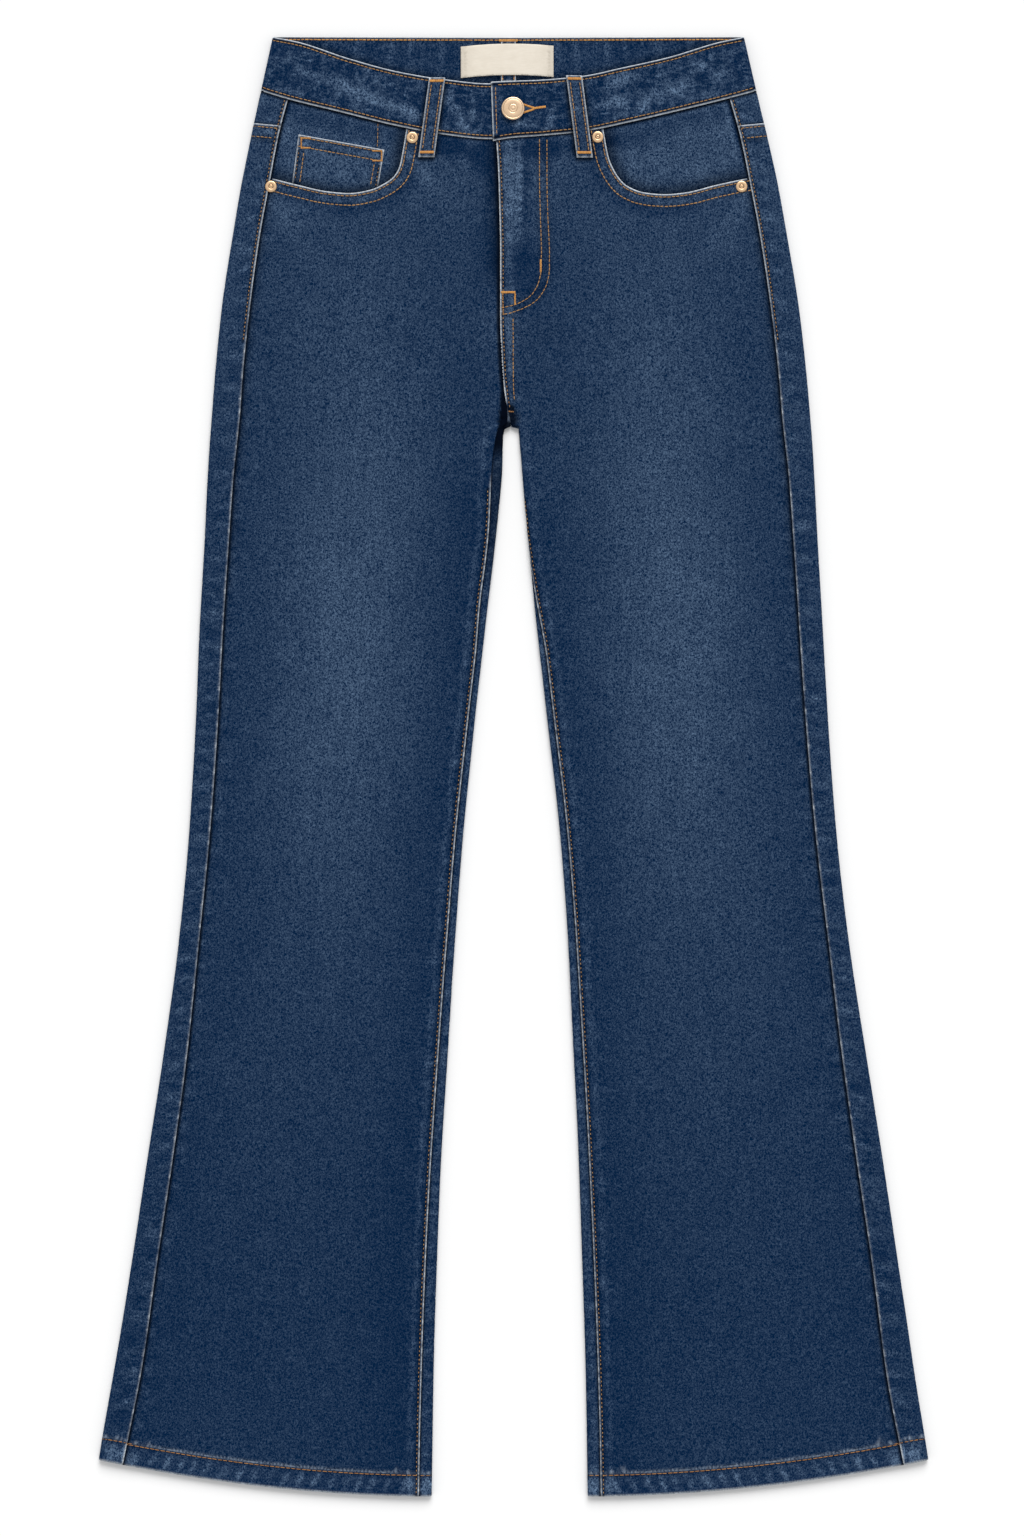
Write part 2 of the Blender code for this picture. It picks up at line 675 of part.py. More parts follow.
def make_coin_pocket():
    """A small patch on the right facing, made from the facing's height moved out."""
    mouth = pocket_mouth("right", FINE_MOUTH_CELLS)
    head = np.linspace(COIN_POCKET["outer_top"], COIN_POCKET["inner_top"], PATCH_CELLS + 2)
    feet = np.linspace(COIN_POCKET["outer_foot"], COIN_POCKET["inner_foot"], PATCH_CELLS + 2)
    foot = [(x, float(np.interp(x, mouth[:, 0], mouth[:, 1])) - COIN_CLEAR) for x in feet]
    plan = []
    for share in np.linspace(0.0, 1.0, PATCH_CELLS + 1):
        plan.append([(-mix(a[0], b[0], share), mix(a[1], b[1], share)) for a, b in zip(head, foot)])
    plate("coin_pocket", plan, lambda x, drop: facing_height(x, drop) + GAP + CLOTH, CLOTH, "denim_worn")


def make_back_pocket(side):
    corner = {name: np.array(place) for name, place in BACK_POCKET.items()}
    head = along([corner["inner_top"], corner["outer_top"]], 2 * HALF_POCKET_CELLS)
    inner_half = along([corner["inner_bottom"], corner["point"]], HALF_POCKET_CELLS)
    outer_half = along([corner["point"], corner["outer_bottom"]], HALF_POCKET_CELLS)
    foot = np.concatenate([inner_half[:-1], outer_half])
    plan = []
    for share in np.linspace(0.0, 1.0, HALF_POCKET_CELLS + 1):
        plan.append([(SIGN[side] * x, drop) for x, drop in mix(head, foot, share)])
    plate(f"back_pocket_{side}", plan, lambda x, drop: CLOTH, CLOTH)


# ---------------------------------------------------------------- waistband

BAND_BACK_TOP = BAND_BACK_FLOOR + BAND_THICK
BAND_FRONT_TOP = BAND_BACK_TOP + GAP + BAND_THICK
FRONT_STATIONS, FOLD_STATIONS, BACK_STATIONS = 16, 6, 14


def band_lap(x):
    """How far the left half stands up over the underlap at seam place x."""
    down = (x - BAND_LAP_FLAT) / (BAND_LAP_DOWN - BAND_LAP_FLAT)
    return (BAND_THICK + GAP) * (1.0 - min(max(down, 0.0), 1.0))


def make_waistband():
    """One strip: the underlap, the right half, round the right fold, the back, the left fold, the overlap.

    A station holds (x, drop) of the top edge, (x, drop) of the seam edge, the height and the outward normal.
    """
    radius = (BAND_FRONT_TOP - BAND_BACK_FLOOR) / 2
    middle = (BAND_FRONT_TOP + BAND_BACK_FLOOR) / 2
    halves = {}
    for side in ("right", "left"):
        rows = BAND_ROWS[side]
        read = {name: bent(rows, BAND_COLUMNS, "seam_x", name) for name in BAND_COLUMNS if name != "seam_x"}
        sign, half = SIGN[side], []
        for seam_x in np.linspace(rows[-1][2], rows[0][2] - radius, FRONT_STATIONS):
            height = BAND_FRONT_TOP + (band_lap(seam_x) if side == "left" else 0.0)
            top = (sign * read["top_x"](seam_x), read["top_drop"](seam_x))
            half.append((top, (sign * seam_x, read["seam_drop"](seam_x)), height, (0.0, 1.0)))
        top_drop, seam_drop = rows[0][1], rows[0][3]
        for turn in np.linspace(0.0, math.pi, FOLD_STATIONS)[1:-1]:
            out = radius * (math.sin(turn) - 1.0)
            top = (sign * (outer_fold(top_drop) + out), top_drop)
            seam = (sign * (outer_fold(seam_drop) + out), seam_drop)
            normal = (sign * math.sin(turn), math.cos(turn))
            half.append((top, seam, middle + radius * math.cos(turn), normal))
        halves[side] = half
    back = []
    for share in np.linspace(-1.0, 1.0, BACK_STATIONS):
        out = abs(share)
        top = (share * (outer_fold(BAND_SIDE_EDGE) - radius), mix(BAND_BACK_EDGE, BAND_SIDE_EDGE, out))
        seam = (share * (outer_fold(BAND_DEPTH) - radius), mix(BAND_DEPTH_BACK, BAND_DEPTH, out))
        back.append((top, seam, BAND_BACK_FLOOR, (0.0, -1.0)))
    stations = halves["right"] + back + halves["left"][::-1]
    outside, inside = [], []
    for top, seam, height, (out, up) in stations:
        in_x, in_z = out * BAND_THICK, up * BAND_THICK
        outside.append([(*top, height), (*seam, height)])
        inside.append([(x - in_x, drop, height - in_z) for x, drop in (top, seam)])
    wall("waistband", outside, inside)


# ---------------------------------------------------------------- small pieces


def make_front_loop(side):
    """A loop from the top of the waistband to below its seam, a little clear of it in the middle."""
    (top_x, top_drop), (foot_x, foot_drop) = FRONT_LOOPS[side]
    seam_drop = front_seam[side](foot_x) + LOOP_PAST_SEAM
    at_seam = (seam_drop - top_drop) / (foot_drop - top_drop)
    outside = []
    for share in (0.0, at_seam / 3, at_seam * 2 / 3, at_seam, (at_seam + 1.0) / 2, 1.0):
        x, drop = mix(top_x, foot_x, share), mix(top_drop, foot_drop, share)
        arch = LOOP_ARCH * math.sin(math.pi * min(share / at_seam, 1.0))
        row = []
        for across in (-LOOP_WIDTH / 2, LOOP_WIDTH / 2):
            on_band = BAND_FRONT_TOP + (band_lap(x + across) if side == "left" else 0.0)
            on_front = upper_height(x + across, drop) + fly_step(side, x + across, drop)
            beyond = min(max((share - at_seam) / (1.0 - at_seam), 0.0), 1.0)
            foot = mix(on_band, on_front, beyond) + LOOP_GAP + arch
            row.append((SIGN[side] * (x + across), drop, foot + LOOP_THICK))
        outside.append(row)
    inside = [[(x, drop, z - LOOP_THICK) for x, drop, z in row] for row in outside]
    wall(f"belt_loop_front_{side}", outside, inside)


def make_back_loop(place, middle):
    plan = [[(middle - LOOP_WIDTH / 2, drop), (middle + LOOP_WIDTH / 2, drop)] for drop in BACK_LOOP_DROPS]
    name = "belt_loop_back" if place == "back" else f"belt_loop_{place}"
    plate(name, plan, lambda x, drop: LOOP_THICK, LOOP_THICK)


def make_zip():
    """The closed zip under the left front. It is hidden, so it is plain."""
    plan = []
    for drop in np.linspace(*ZIP_DROPS, ZIP_CELLS + 1):
        plan.append([(x, drop) for x in np.linspace(fly_edge(drop) + GAP, FLY_WIDTH - ZIP_MARGIN, 4)])
    plate("fly_zip", plan, lambda x, drop: over(drop) - ZIP_CLEAR, CLOTH, "zip")


def make_tape():
    low, high = TAPE["middle"] - TAPE["width"] / 2, TAPE["middle"] + TAPE["width"] / 2
    plan = [[(low, drop), (high, drop)] for drop in (TAPE["top"], TAPE["bottom"])]
    plate("back_tape", plan, lambda x, drop: BAND_BACK_TOP + GAP + CLOTH, CLOTH, "denim_worn")


def make_label():
    """Bare woven label, sewn down at its ends, so its middle bows up and towards the waist edge."""
    plan = []
    for down in np.linspace(0.0, LABEL["depth"], 3):
        row = []
        for across in np.linspace(-1.0, 1.0, 9):
            x = LABEL["middle"] + across * LABEL["width"] / 2
            row.append((x, LABEL["top"] + down - LABEL["arch"] * (1.0 - across**2)))
        plan.append(row)

    def height(x, drop):
        across = (x - LABEL["middle"]) / (LABEL["width"] / 2)
        return BAND_BACK_TOP + GAP + CLOTH + LABEL["bulge"] * (1.0 - across**2)

    plate("label", plan, height, CLOTH, "label")


def make_button():
    """A tack button: a neck, a cap with a rolled rim and a shallow raised middle."""
    cap = BUTTON_ACROSS / 2
    profile = [
        (0.0, 0.0), (0.45 * cap, 0.0), (0.45 * cap, 1.0), (0.92 * cap, 1.2), (cap, 1.9), (0.97 * cap, 2.6),
        (0.86 * cap, 2.9), (0.78 * cap, 2.7), (0.36 * cap, 2.9), (0.30 * cap, 3.2), (0.0, 3.3),
    ]  # fmt: skip
    foot = BAND_FRONT_TOP + BAND_THICK + 2 * GAP
    turned("waist_button", BUTTON_AT, foot, profile, 24, "metal")


def make_rivet(place, at):
    """A rivet: a domed cap with a small nub, on the front and clear of it by a gap."""
    cap = RIVET_ACROSS / 2
    profile = [
        (0.0, 0.0), (cap, 0.0), (cap, 0.5), (0.8 * cap, 1.0), (0.34 * cap, 1.1), (0.28 * cap, 1.6), (0.0, 1.8),
    ]  # fmt: skip
    x, drop = at
    around = [(abs(x) + cap * c, drop + cap * s) for c, s in ((-1, 0), (1, 0), (0, -1), (0, 1), (0, 0))]
    foot = max(upper_height(*point) for point in around) + GAP
    turned(f"rivet_{place}", at, foot, profile, 16, "metal")


def main():
    for old in list(bpy.data.objects):
        bpy.data.objects.remove(old, do_unlink=True)
    make_waistband()
    for side in ("right", "left"):
        make_yoke(side)
        make_back(side)
        make_front(side)
        make_facing(side)
        make_back_pocket(side)
        make_front_loop(side)
    make_coin_pocket()
    make_zip()
    for place, middle in BACK_LOOPS.items():
        make_back_loop(place, middle)
    make_tape()
    make_label()
    make_button()
    for place, at in RIVETS_AT.items():
        make_rivet(place, at)


main()
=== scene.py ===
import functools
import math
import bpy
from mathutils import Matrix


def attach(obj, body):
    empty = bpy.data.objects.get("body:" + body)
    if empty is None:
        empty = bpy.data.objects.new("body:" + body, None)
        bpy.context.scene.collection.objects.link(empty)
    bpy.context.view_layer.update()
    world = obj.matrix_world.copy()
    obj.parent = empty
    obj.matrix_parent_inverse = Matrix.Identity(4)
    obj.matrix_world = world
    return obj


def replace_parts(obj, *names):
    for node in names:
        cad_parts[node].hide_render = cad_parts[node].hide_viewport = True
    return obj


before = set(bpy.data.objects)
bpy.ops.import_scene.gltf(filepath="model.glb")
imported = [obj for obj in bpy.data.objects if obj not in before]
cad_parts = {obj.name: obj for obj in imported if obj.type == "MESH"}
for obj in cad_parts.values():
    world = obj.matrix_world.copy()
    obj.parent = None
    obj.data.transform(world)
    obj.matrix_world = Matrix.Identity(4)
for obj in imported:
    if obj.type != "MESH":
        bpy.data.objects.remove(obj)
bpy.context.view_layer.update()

# Flared jeans laid flat on their back: the cloth, seams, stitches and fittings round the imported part.
#
# Tables and sizes are in millimetres unless they say otherwise. A "drop" is a distance down the garment
# from the back waist edge; a half-width is a distance from the centre line. A piece of cloth is laid out
# flat in (a, drop) first, where a is a half-width that runs on round the side folds.

import types

import bpy
import numpy as np
from mathutils import kdtree
from mathutils.geometry import delaunay_2d_cdt

MM = 0.001  # one millimetre in metres
LENGTH = 1094.25
CLOTH = 1.0  # a solid's thickness
GAP = 0.3  # between two solids
PLY = 0.8  # the thickness of the cloth here
CROTCH = 292.5
CROTCH_CURL = 16.0
CROTCH_DROPS = (292.5, 293.2, 293.8, 295.0)
INSEAM_RISE = {"right": (284.0, 297.0), "left": (345.0, 470.0)}
INSEAM_SHIFT = {"right": 1.9, "left": -1.1}
SHOULDER = 45.0
LAP_STEP = CLOTH + GAP
FLY_WIDTH, FLY_SIDE_RAMP = 31.0, 17.0
FLY_END, FLY_FOOT_RAMP = 208.0, 25.0
FLY_SLIP, FLY_OPEN = {"left": 0.0, "right": -3.0}, 262.0
HEM_DEPTH, HEM_STITCH, HEM_ROPE = 16.0, 15.8, 11.5
SIGN = {"left": 1.0, "right": -1.0}

LEG_COLUMNS = ("drop", "outer_fold", "outseam", "inseam", "inner_fold")
LEG_ROWS = [
    (0, 176.5, 153.5, 0, 0.2), (40, 185.5, 164.5, 0, 0.2), (75, 193.5, 174, 0, 0.2),
    (110, 201, 181, 0, 0.2), (150, 208, 188.5, 0, 0.2), (200, 216, 195.8, 0, 0.2),
    (250, 221.5, 201.5, 0, 0.2), (292.5, 225, 205, 5, 0.2), (293.8, 225.1, 205.2, 5.4, 5.4),
    (297, 225.4, 205.5, 6.4, 5.8), (330, 227.5, 209.1, 12, 7.8), (380, 230, 212.7, 16.5, 12.5),
    (440, 233.5, 216.7, 24, 19), (520, 237.5, 221.7, 33.5, 28), (600, 243, 228.2, 42.5, 36.5),
    (680, 251.5, 237, 49, 42.5), (760, 263, 246, 54.5, 47), (840, 275.5, 257, 59.5, 51.5),
    (920, 287.5, 269, 63.5, 54.5), (1000, 300, 280, 66.5, 57), (1060, 310, 291.5, 68, 58),
    (1094.25, 315, 298.5, 68.5, 58.5),
]

HEIGHT_COLUMNS = ("drop", "under", "over", "outer_top", "inner_top")
HEIGHT_ROWS = [
    (0, 2.7, 6.3, 6.3, 4.2), (45, 2.7, 6.3, 6.3, 4.2), (62, 2.3, 6.3, 6.2, 4.2), (80, 1, 6.2, 6, 4.2),
    (100, 0, 5.8, 5.6, 4.2), (140, 0, 5.2, 5.2, 4.2), (180, 0, 4.7, 5, 4.2), (292.5, 0, 4.2, 5, 4.2),
    (400, 0, 3.4, 5, 4.6), (1000, 0, 3.4, 5, 4.6), (1060, 0, 4.4, 5.2, 4.9), (1094.25, 0, 5, 5.3, 5.2),
]

SWAY_COLUMNS = ("drop", "inner", "outer")
SWAY_ROWS = [  # how far the garment as it lies stands over to its left, at the gap and at the side folds
    (0, 0, -1.6), (50, 0, -1.3), (100, 0, -0.7), (160, 0, -0.4), (235, 0, 0.1), (295, 0.4, 0.4),
    (330, 1.3, 0.4), (395, 0.9, 0.5), (440, 0.4, 0.5), (500, 0.4, 1), (570, 0.8, 1.5), (650, 0.9, 2.2),
    (720, 0.4, 2.9), (800, -0.1, 3.4), (870, -0.6, 3.4), (950, -0.7, 3.2), (1030, -0.6, 2.4),
    (1094.25, -0.6, 2.2),
]

BAND_COLUMNS = ("top_x", "top_drop", "seam_x", "seam_drop")
BAND_ROWS = {
    "right": [
        (176.7, 0.5, 185.6, 40), (158, 4.1, 165, 46.3), (120.4, 16.5, 127, 55.7), (82.9, 26.6, 87, 65.7),
        (48.4, 32.3, 51.4, 72.5), (15.4, 35.3, 15.4, 76.1), (-6, 34.6, -6, 74.4), (-37, 32.6, -37, 71.6),
    ],
    "left": [
        (176.7, 0.5, 185.6, 40), (157, 4.5, 165, 45.5), (120, 15.5, 127, 54.8), (82, 24, 87, 64),
        (53.6, 30, 56, 70.3), (22, 33, 22, 73.9), (3, 33.7, 3, 75.2), (-14.6, 34.5, -13.1, 77.6),
    ],
}
BAND_THICK, BAND_DEPTH, BAND_DEPTH_BACK = 2.2, 40.0, 42.0
BAND_BACK_FLOOR, BAND_BACK_EDGE, BAND_SIDE_EDGE = 2.1, 1.0, 0.5
BAND_BACK_TOP = BAND_BACK_FLOOR + BAND_THICK
BAND_FRONT_TOP = BAND_BACK_TOP + GAP + BAND_THICK
BAND_LAP_FLAT, BAND_LAP_DOWN = 39.0, 72.0

FLY_COLUMNS = ("drop", "x")
FLY_ROWS = [
    (76, -10.9), (100, -9.4), (130, -8.5), (160, -7.9), (208, -7.9), (250, -6.4), (265, -4.9), (282, -1.9),
    (292.5, 0),
]

POCKET_COLUMNS = ("x", "drop")
POCKET_ROWS = {
    "right": [
        (77.5, 69), (81.4, 90.8), (82.9, 97.5), (86.6, 104.3), (91.9, 108.8), (105.4, 115.1),
        (120.4, 117.4), (135.4, 116.3), (160, 111), (180.3, 105.8),
    ],
    "left": [
        (69.8, 69), (73.9, 90.8), (76.9, 98.3), (81.4, 105.8), (87.4, 111.8), (100.9, 117), (115.9, 118.3),
        (131, 117), (155, 111.2), (180.3, 105.8),
    ],
}
YOKE_AT_SIDE, YOKE_AT_BACK, YOKE_SLOPE, YOKE_BEND = 66.0, 100.0, 0.1, 0.9
HEM_LIFT, HEM_BEND = 27.0, 1.9
HEM_FROM, HEM_TO = 59.6, 309.4
BACK_POCKET = {
    "inner_top": (32.0, 134.0),
    "outer_top": (160.0, 126.0),
    "outer_bottom": (150.0, 244.0),
    "point": (98.0, 268.0),
    "inner_bottom": (45.0, 250.0),
}
BACK_POCKET_MARGIN = 15.0
FACING_HIDDEN, FACING_CORNER_DROP = 12.0, 92.0
SEAM_LAP = 1.0  # how far the upper piece of a seam lies over the lower one
RUN_UNDER = 1.0  # and the lower one runs on under it
FLOOR_CLEAR = 0.45  # the underside's cloth stands this far off the floor, on its seams and stitches


# ---------------------------------------------------------------- tables and small tools


def bent(rows, columns, key, name):
    """A function that reads column name at values of column key, smooth and without overshoot."""
    table = np.array(sorted(rows, key=lambda row: row[columns.index(key)]), float)
    xs, ys = table[:, columns.index(key)], table[:, columns.index(name)]
    steps = np.diff(xs)
    slopes = np.diff(ys) / steps
    tangents = np.zeros(len(xs))
    same = slopes[:-1] * slopes[1:] > 0
    tangents[1:-1][same] = 2.0 / (1.0 / slopes[:-1][same] + 1.0 / slopes[1:][same])
    tangents[0], tangents[-1] = slopes[0], slopes[-1]

    def read(x):
        x = np.asarray(x, float)
        i = np.clip(np.searchsorted(xs, x) - 1, 0, len(xs) - 2)
        t = np.clip((x - xs[i]) / steps[i], 0.0, 1.0)
        value = ys[i] * (2 * t**3 - 3 * t**2 + 1) + ys[i + 1] * (3 * t**2 - 2 * t**3)
        value = value + tangents[i] * steps[i] * (t**3 - 2 * t**2 + t)
        value = value + tangents[i + 1] * steps[i] * (t**3 - t**2)
        before, after = np.minimum(x - xs[0], 0.0), np.maximum(x - xs[-1], 0.0)
        return value + tangents[0] * before + tangents[-1] * after

    return read


def ease(t):
    """0 to 1 with level ends."""
    t = np.clip(t, 0.0, 1.0)
    return t * t * (3.0 - 2.0 * t)


def mix(a, b, t):
    """From a to b as t goes from 0 to 1."""
    return a + (b - a) * t


def bell(d, width):
    """1 at 0, falling off over width."""
    return np.exp(-((np.asarray(d, float) / width) ** 2))


def ledge(d, flat, width):
    """1 as far as flat, then falling off over width."""
    return bell(np.maximum(d - flat, 0.0), width)


def most(*parts):
    """The largest of several values at each place."""
    return functools.reduce(np.maximum, parts)


def least(*parts):
    """The smallest of them."""
    return functools.reduce(np.minimum, parts)


def lengths(line):
    """How far along a line each of its points is."""
    return np.concatenate([[0.0], np.cumsum(np.linalg.norm(np.diff(line, axis=0), axis=1))])


def resample(line, step):
    """The same line with points about step apart."""
    line = np.array(line, float)
    length = lengths(line)
    at = np.linspace(0.0, length[-1], max(int(round(length[-1] / step)), 1) + 1)
    return np.column_stack([np.interp(at, length, line[:, k]) for k in range(line.shape[1])])


def sideways(line):
    """Unit vectors across a line, to its left as it runs."""
    way = np.gradient(line, axis=0)
    way /= np.linalg.norm(way, axis=1)[:, None]
    return np.column_stack([-way[:, 1], way[:, 0]])


def outline(edges):
    """The closed loop of some named edges, and twice its signed area."""
    loop = np.concatenate([line[:-1] for line in edges.values()])
    x, y = loop.T
    return loop, (x * np.roll(y, -1) - np.roll(x, -1) * y).sum()


def near(points, line):
    """How far each point lies from a line, and how far along the line the nearest place is."""
    tree = kdtree.KDTree(len(line))
    for k, (x, y) in enumerate(line.tolist()):
        tree.insert((x, y, 0.0), k)
    tree.balance()
    nearest = np.array([tree.find((x, y, 0.0))[1] for x, y in points.tolist()], int)
    done = lengths(line)
    far, along = np.full(len(points), 1e9), np.zeros(len(points))
    for step in (-1, 0):
        k = np.clip(nearest + step, 0, len(line) - 2)
        way = line[k + 1] - line[k]
        size = (way**2).sum(1)
        t = np.clip(((points - line[k]) * way).sum(1) / size, 0.0, 1.0)
        gap = np.linalg.norm(points - line[k] - t[:, None] * way, axis=1)
        along = np.where(gap < far, done[k] + t * np.sqrt(size), along)
        far = np.minimum(gap, far)
    return far, along


def inside(points, loop):
    """Which points lie in a closed loop."""
    a, b = loop, np.roll(loop, -1, axis=0)
    odd = np.zeros(len(points), bool)
    for k in range(0, len(points), 2000):
        x, y = points[k : k + 2000, :1], points[k : k + 2000, 1:]
        over = (a[:, 1] > y) != (b[:, 1] > y)
        with np.errstate(divide="ignore", invalid="ignore"):
            at = a[:, 0] + (y - a[:, 1]) / (b[:, 1] - a[:, 1]) * (b[:, 0] - a[:, 0])
        odd[k : k + 2000] = (over & (x < at)).sum(1) % 2 == 1
    return odd


def wander(s, period, seed):
    """A smooth uneven wave between about -1 and 1 along s."""
    s = np.asarray(s, float)
    turns = 2 * math.pi * s / period
    total = np.sin(turns + 1.7 * seed) + 0.7 * np.sin(turns * 0.61 + 3.1 * seed)
    return (total + 0.5 * np.sin(turns * 1.73 + 0.9 * seed)) / 1.6


def all_bent(rows, columns):
    """Every column of a table as a function of its first."""
    return [bent(rows, columns, columns[0], name) for name in columns[1:]]


outer_fold, outseam, inseam, inner_fold = all_bent(LEG_ROWS, LEG_COLUMNS)
under, over, outer_top, inner_top = all_bent(HEIGHT_ROWS, HEIGHT_COLUMNS)
(fly_edge,) = all_bent(FLY_ROWS, FLY_COLUMNS)
sway_inner, sway_outer = all_bent(SWAY_ROWS, SWAY_COLUMNS)
front_seam = {side: bent(rows, BAND_COLUMNS, "seam_x", "seam_drop") for side, rows in BAND_ROWS.items()}


# ---------------------------------------------------------------- the form of a leg


def crotch_curl(drop):
    return ease((drop - (CROTCH - CROTCH_CURL)) / CROTCH_CURL)


def outer_radius(drop):
    return (outer_top(drop) - under(drop)) / 2


def inner_radius(drop):
    return (np.where(drop >= CROTCH, inner_top(drop), over(drop)) - under(drop)) / 2


def inner_line(drop, edge):
    """Where the inner fold stands: at the crotch it has grown out of the seam at x = edge."""
    above = edge - inner_radius(drop) * (1.0 - np.sin(crotch_curl(drop) * math.pi / 2))
    return np.where(drop >= CROTCH, inner_fold(drop), above)


def upper_height(x, drop):
    """The outer face of the upper side at half-width x, between the folds."""
    middle = over(drop)
    outside = ease((x - (outer_fold(drop) - outer_radius(drop) - SHOULDER)) / SHOULDER)
    beside = ease((inner_fold(drop) + inner_radius(drop) + SHOULDER - x) / SHOULDER) * (drop > CROTCH)
    return middle + (outer_top(drop) - middle) * outside + (inner_top(drop) - middle) * beside


def lower_height(x, drop):
    """The outer face of the underside at half-width x: it rises over a back pocket."""
    corners = np.array(list(BACK_POCKET.values()))
    low, high = corners.min(0), corners.max(0)
    away = np.maximum.reduce([low[0] - x, x - high[0], low[1] - drop, drop - high[1]])
    on_pocket = 1.0 - ease((away - BACK_POCKET_MARGIN) / BACK_POCKET_MARGIN)
    return np.maximum(under(drop), np.maximum(LAP_STEP * on_pocket, FLOOR_CLEAR))


def inseam_place(drop, edge, side):
    """The unrolled place of the front's inner edge. It starts on the fold's side and comes up on top."""
    radius = inner_radius(drop)
    beside = inner_line(drop, edge) + radius - crotch_curl(drop) * math.pi / 2 * radius
    low, high = INSEAM_RISE[side]
    shift = INSEAM_SHIFT[side] * ease((470.0 - drop) / 60.0)
    if side == "right":
        shift = shift + 3.0 * bell(drop - 308.0, 40.0)
    on_top = inseam(drop) + shift
    return np.where(drop <= low, beside, mix(beside, on_top, ease((drop - low) / (high - low))))


def hem_line(x):
    """Drop of the hem's foot at half-width x."""
    return LENGTH - HEM_LIFT * (np.maximum(np.abs(x) - HEM_FROM, 0.0) / (HEM_TO - HEM_FROM)) ** HEM_BEND


def lay_upper(a, drop, edge):
    """Half-width, height and outward normal on the upper side at unrolled place a."""
    radius = inner_radius(drop)
    crest = inner_line(drop, edge) + radius
    turn = np.where(drop > CROTCH - CROTCH_CURL, np.maximum(crest - a, 0.0) / radius, 0.0)
    on_fold = turn > 0.0
    x = np.where(on_fold, crest - radius * np.sin(turn), a)
    z = np.where(on_fold, under(drop) + radius * (1.0 + np.cos(turn)), upper_height(a, drop))
    return x, z, np.where(on_fold, -np.sin(turn), 0.0), np.where(on_fold, np.cos(turn), 1.0)


def lay_lower(b, drop):
    """The same on the back piece, which runs round both folds up to the upper side."""
    inner_r, outer_r = inner_radius(drop), outer_radius(drop)
    base = under(drop)
    lift = np.maximum(FLOOR_CLEAR - base, 0.0)
    inner_start = inner_line(drop, GAP / 2) + inner_r
    outer_start = outer_fold(drop) - outer_r
    past_out, past_in = b - outer_start, inner_start - b
    r = np.where(past_out > 0.0, outer_r, inner_r)
    way = np.where(past_out > 0.0, 1.0, -1.0)
    travel = np.maximum(np.maximum(past_out, past_in), 0.0)
    turn = np.clip(travel / r, 0.0, math.pi)
    start = np.where(past_out > 0.0, outer_start, inner_start)
    beyond = np.maximum(travel - math.pi * r, 0.0)
    flat = travel <= 0.0
    x = np.where(flat, b, start + way * (r * np.sin(turn) - beyond))
    low = base + r - r * np.cos(turn) + lift * (1.0 + np.cos(turn)) / 2
    z = np.where(flat, lower_height(b, drop), np.where(beyond > 0.0, upper_height(x, drop), low))
    out = np.where(flat | (beyond > 0.0), 0.0, way * np.sin(turn))
    up = np.where(flat, -1.0, np.where(beyond > 0.0, 1.0, -np.cos(turn)))
    return x, z, out, up


def front_edge(side, drop):
    """Half-width of a front's inner edge: the left front laps over the right one at the fly."""
    return SIGN[side] * fly_edge(np.minimum(drop, CROTCH)) + GAP / 2


def fly_step(side, x, drop):
    """How far the left front stands up over the zip."""
    if side == "right":
        return 0.0 * x
    beside = 1.0 - ease((x - FLY_WIDTH) / FLY_SIDE_RAMP)
    return LAP_STEP * beside * (1.0 - ease((drop - FLY_END) / FLY_FOOT_RAMP))


def yoke_seam(x, upper):
    """Drop of the seam under the yoke: it dips to the centre back."""
    on_top = YOKE_AT_SIDE + YOKE_SLOPE * (outer_fold(YOKE_AT_SIDE) - x)
    share = np.clip(x / outer_fold(YOKE_AT_SIDE), 0.0, 1.0) ** YOKE_BEND
    return np.where(upper, on_top, mix(YOKE_AT_BACK, YOKE_AT_SIDE, share))


def band_seam(x, upper, side):
    """Drop of the waistband's lower edge over a half-width of the yoke or the front."""
    on_back = mix(BAND_DEPTH_BACK, BAND_DEPTH, np.clip(x / outer_fold(BAND_DEPTH), 0.0, 1.0))
    return np.where(upper, front_seam[side](x), on_back)


def pocket_mouth(side):
    """(x, drop) along a pocket mouth, from the waistband to the outseam."""
    rows = np.array(POCKET_ROWS[side], float)
    keyed = np.column_stack([lengths(rows), rows])
    columns = ("way", *POCKET_COLUMNS)
    way = np.linspace(0.0, keyed[-1, 0], 60)
    return np.column_stack([bent(keyed, columns, "way", name)(way) for name in POCKET_COLUMNS])


# ---------------------------------------------------------------- cloth meshes

EDGE_ROWS = (  # distance in from an edge, spacing along it
    (0.3, 1.9), (0.7, 1.9), (1.2, 2), (1.8, 2.1), (2.5, 2.3), (3.4, 2.6), (4.6, 2.8), (6.2, 3.2),
    (8.2, 3.5), (10.6, 3.9),
)
HEM_ROWS = EDGE_ROWS + (
    (12.8, 3.2), (14.2, 2.8), (15, 2.6), (15.7, 2.6), (16.4, 2.6), (16.9, 2.6), (17.5, 2.6), (18.3, 2.8),
    (19.8, 3.4),
)
CELL, GUIDE_STEP = 4.4, 3.2  # sizes of the net between them
LEG_STEP, EDGE_STEP, POCKET_STEP = 2.5, 2.4, 2.2  # spacing of the points along outlines
SAME_PLACE = 0.3  # of points that round to the same place on a grid of this size, one is kept
ROUND = 0.75  # radius of a turned edge
INSIDE_SHADE = 0.3  # how much of the outer face's look the inner face has


